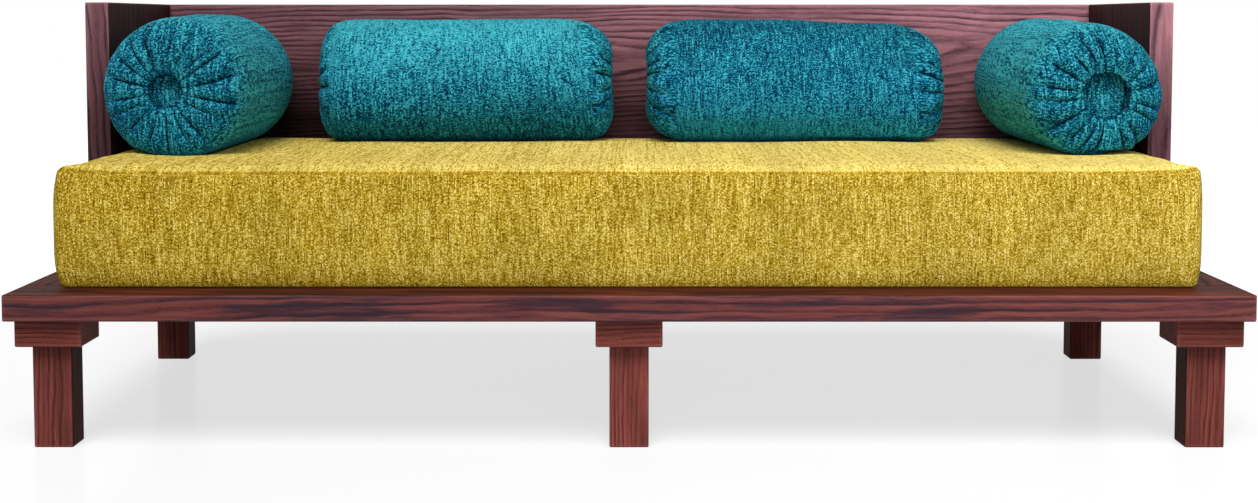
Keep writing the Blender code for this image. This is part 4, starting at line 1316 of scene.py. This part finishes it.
# %% Zip tape
tape_finish, tree, shader = new_finish("zip_tape")
spot = add_node(tree, "TexCoord").outputs["Object"]
weave = noise(tree, spot, WEAVE_CELLS, 1.0).outputs["Fac"]
tree.links.new(ramp(tree, weave, TAPE_TONES), shader.inputs["Base Color"])
shader.inputs["Roughness"].default_value = 0.85
relief = add_node(tree, "Bump", {"Height": weave, "Strength": 0.4, "Distance": 0.0003})
tree.links.new(relief.outputs[0], shader.inputs["Normal"])

stations = np.linspace(-ZIP_HALF_LENGTH, ZIP_HALF_LENGTH, TAPE_STATIONS)
outline = oval(TAPE_WIDTH, TAPE_THICKNESS, 6.0, 20) - (TAPE_THICKNESS / 2, 0.0)
points, cells = carry(outline, stations, np.ones(TAPE_STATIONS))
tape = make_piece("zip_tape_woven", zip_place(points), cells, tape_finish)
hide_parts("mattress_zip")
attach(tape, "mattress")
print("zip tape:", len(cells), "cells")

# %% Zip teeth and slider
TOOTH_PITCH = 0.0025
TOOTH_SIZE = (0.0013, 0.0006, 0.0032)
TOOTH_OFFSET = 0.0007
CHAIN_HALF_LENGTH = 0.78
SLIDER_START = -0.76
SLIDER_SIZE = (0.011, 0.0026, 0.009)
SLIDER_LIFT = 0.0003
CHANNEL = (0.0011, 0.0058)
PULL_SIZE = (0.024, 0.0019, 0.0055)
PULL_LIFT = 0.0017
HOOD_POWER = 0.35
END_WIDTH = 0.55
BRASS = [(0.3, (0.42, 0.29, 0.11)), (0.7, (0.72, 0.55, 0.27))]
RUBBED_CELLS = (1500.0, 1500.0, 1500.0)

brass, tree, shader = new_finish("brass")
spot = add_node(tree, "TexCoord").outputs["Object"]
rubbed = noise(tree, spot, RUBBED_CELLS, 3.0).outputs["Fac"]
tree.links.new(ramp(tree, rubbed, BRASS), shader.inputs["Base Color"])
tree.links.new(remap(tree, rubbed, 0.3, 0.7, 0.42, 0.26), shader.inputs["Roughness"])
shader.inputs["Metallic"].default_value = 1.0

tooth, tooth_cells = carry(
    oval(TOOTH_SIZE[2], TOOTH_SIZE[1], 4.0, 8) + (TOOTH_SIZE[1] / 2, 0.0),
    np.array([-0.5, 0.5]) * TOOTH_SIZE[0],
    np.ones(2),
)
places = np.arange(-CHAIN_HALF_LENGTH, CHAIN_HALF_LENGTH, TOOTH_PITCH / 2)
offsets = np.zeros((len(places), 1, 3))
offsets[:, 0, 0] = places
offsets[:, 0, 2] = np.where(np.arange(len(places)) % 2, TOOTH_OFFSET, -TOOTH_OFFSET)
numbers = len(tooth) * np.arange(len(places))[:, None, None]
teeth_points = zip_place((tooth + offsets).reshape(-1, 3))
teeth = make_piece("zip_teeth", teeth_points, (tooth_cells + numbers).reshape(-1, 4), brass)
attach(teeth, "mattress")


def rounded_ends(stations, length, roundness):
    """Widths along a piece: 1 in the middle, falling along a quarter circle to END_WIDTH over the roundness
    at each end."""
    left = np.clip((length / 2 - np.abs(stations)) / roundness, 0.0, 1.0)
    return END_WIDTH + (1.0 - END_WIDTH) * np.sqrt(1.0 - (1.0 - left) ** 2)


def hood(height, width):
    """Half an outline with square shoulders, from one foot over the top to the other: (height of the sine,
    half the width of the cosine), each raised to HOOD_POWER."""
    turn = np.linspace(0.0, math.pi, 13)
    up, across = (signed_power(part(turn), HOOD_POWER) for part in (np.sin, np.cos))
    return np.stack([up * height, -across * width / 2], axis=-1)


body_outline = np.concatenate([hood(*SLIDER_SIZE[1:]), hood(*CHANNEL)[::-1]])
along = np.linspace(-0.5, 0.5, 13) * SLIDER_SIZE[0]
body, body_cells = carry(body_outline, along, rounded_ends(along, SLIDER_SIZE[0], 0.003))
along = np.linspace(-0.5, 0.5, 25) * PULL_SIZE[0]
pull_outline = oval(PULL_SIZE[2], PULL_SIZE[1], 4.0, 12) + (PULL_LIFT + PULL_SIZE[1] / 2 - SLIDER_LIFT, 0.0)
pull, pull_cells = carry(pull_outline, along, rounded_ends(along, PULL_SIZE[0], 0.004))
points = np.concatenate([body, pull + (PULL_SIZE[0] / 2, 0.0, 0.0)]) + (SLIDER_START, SLIDER_LIFT, 0.0)
cells = np.concatenate([body_cells, pull_cells + len(body)])
slider = make_piece("zip_slider_brass", zip_place(points), cells, brass)
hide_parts("zip_slider")
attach(slider, "zip_slider")
print("zip:", len(places), "teeth and a slider")
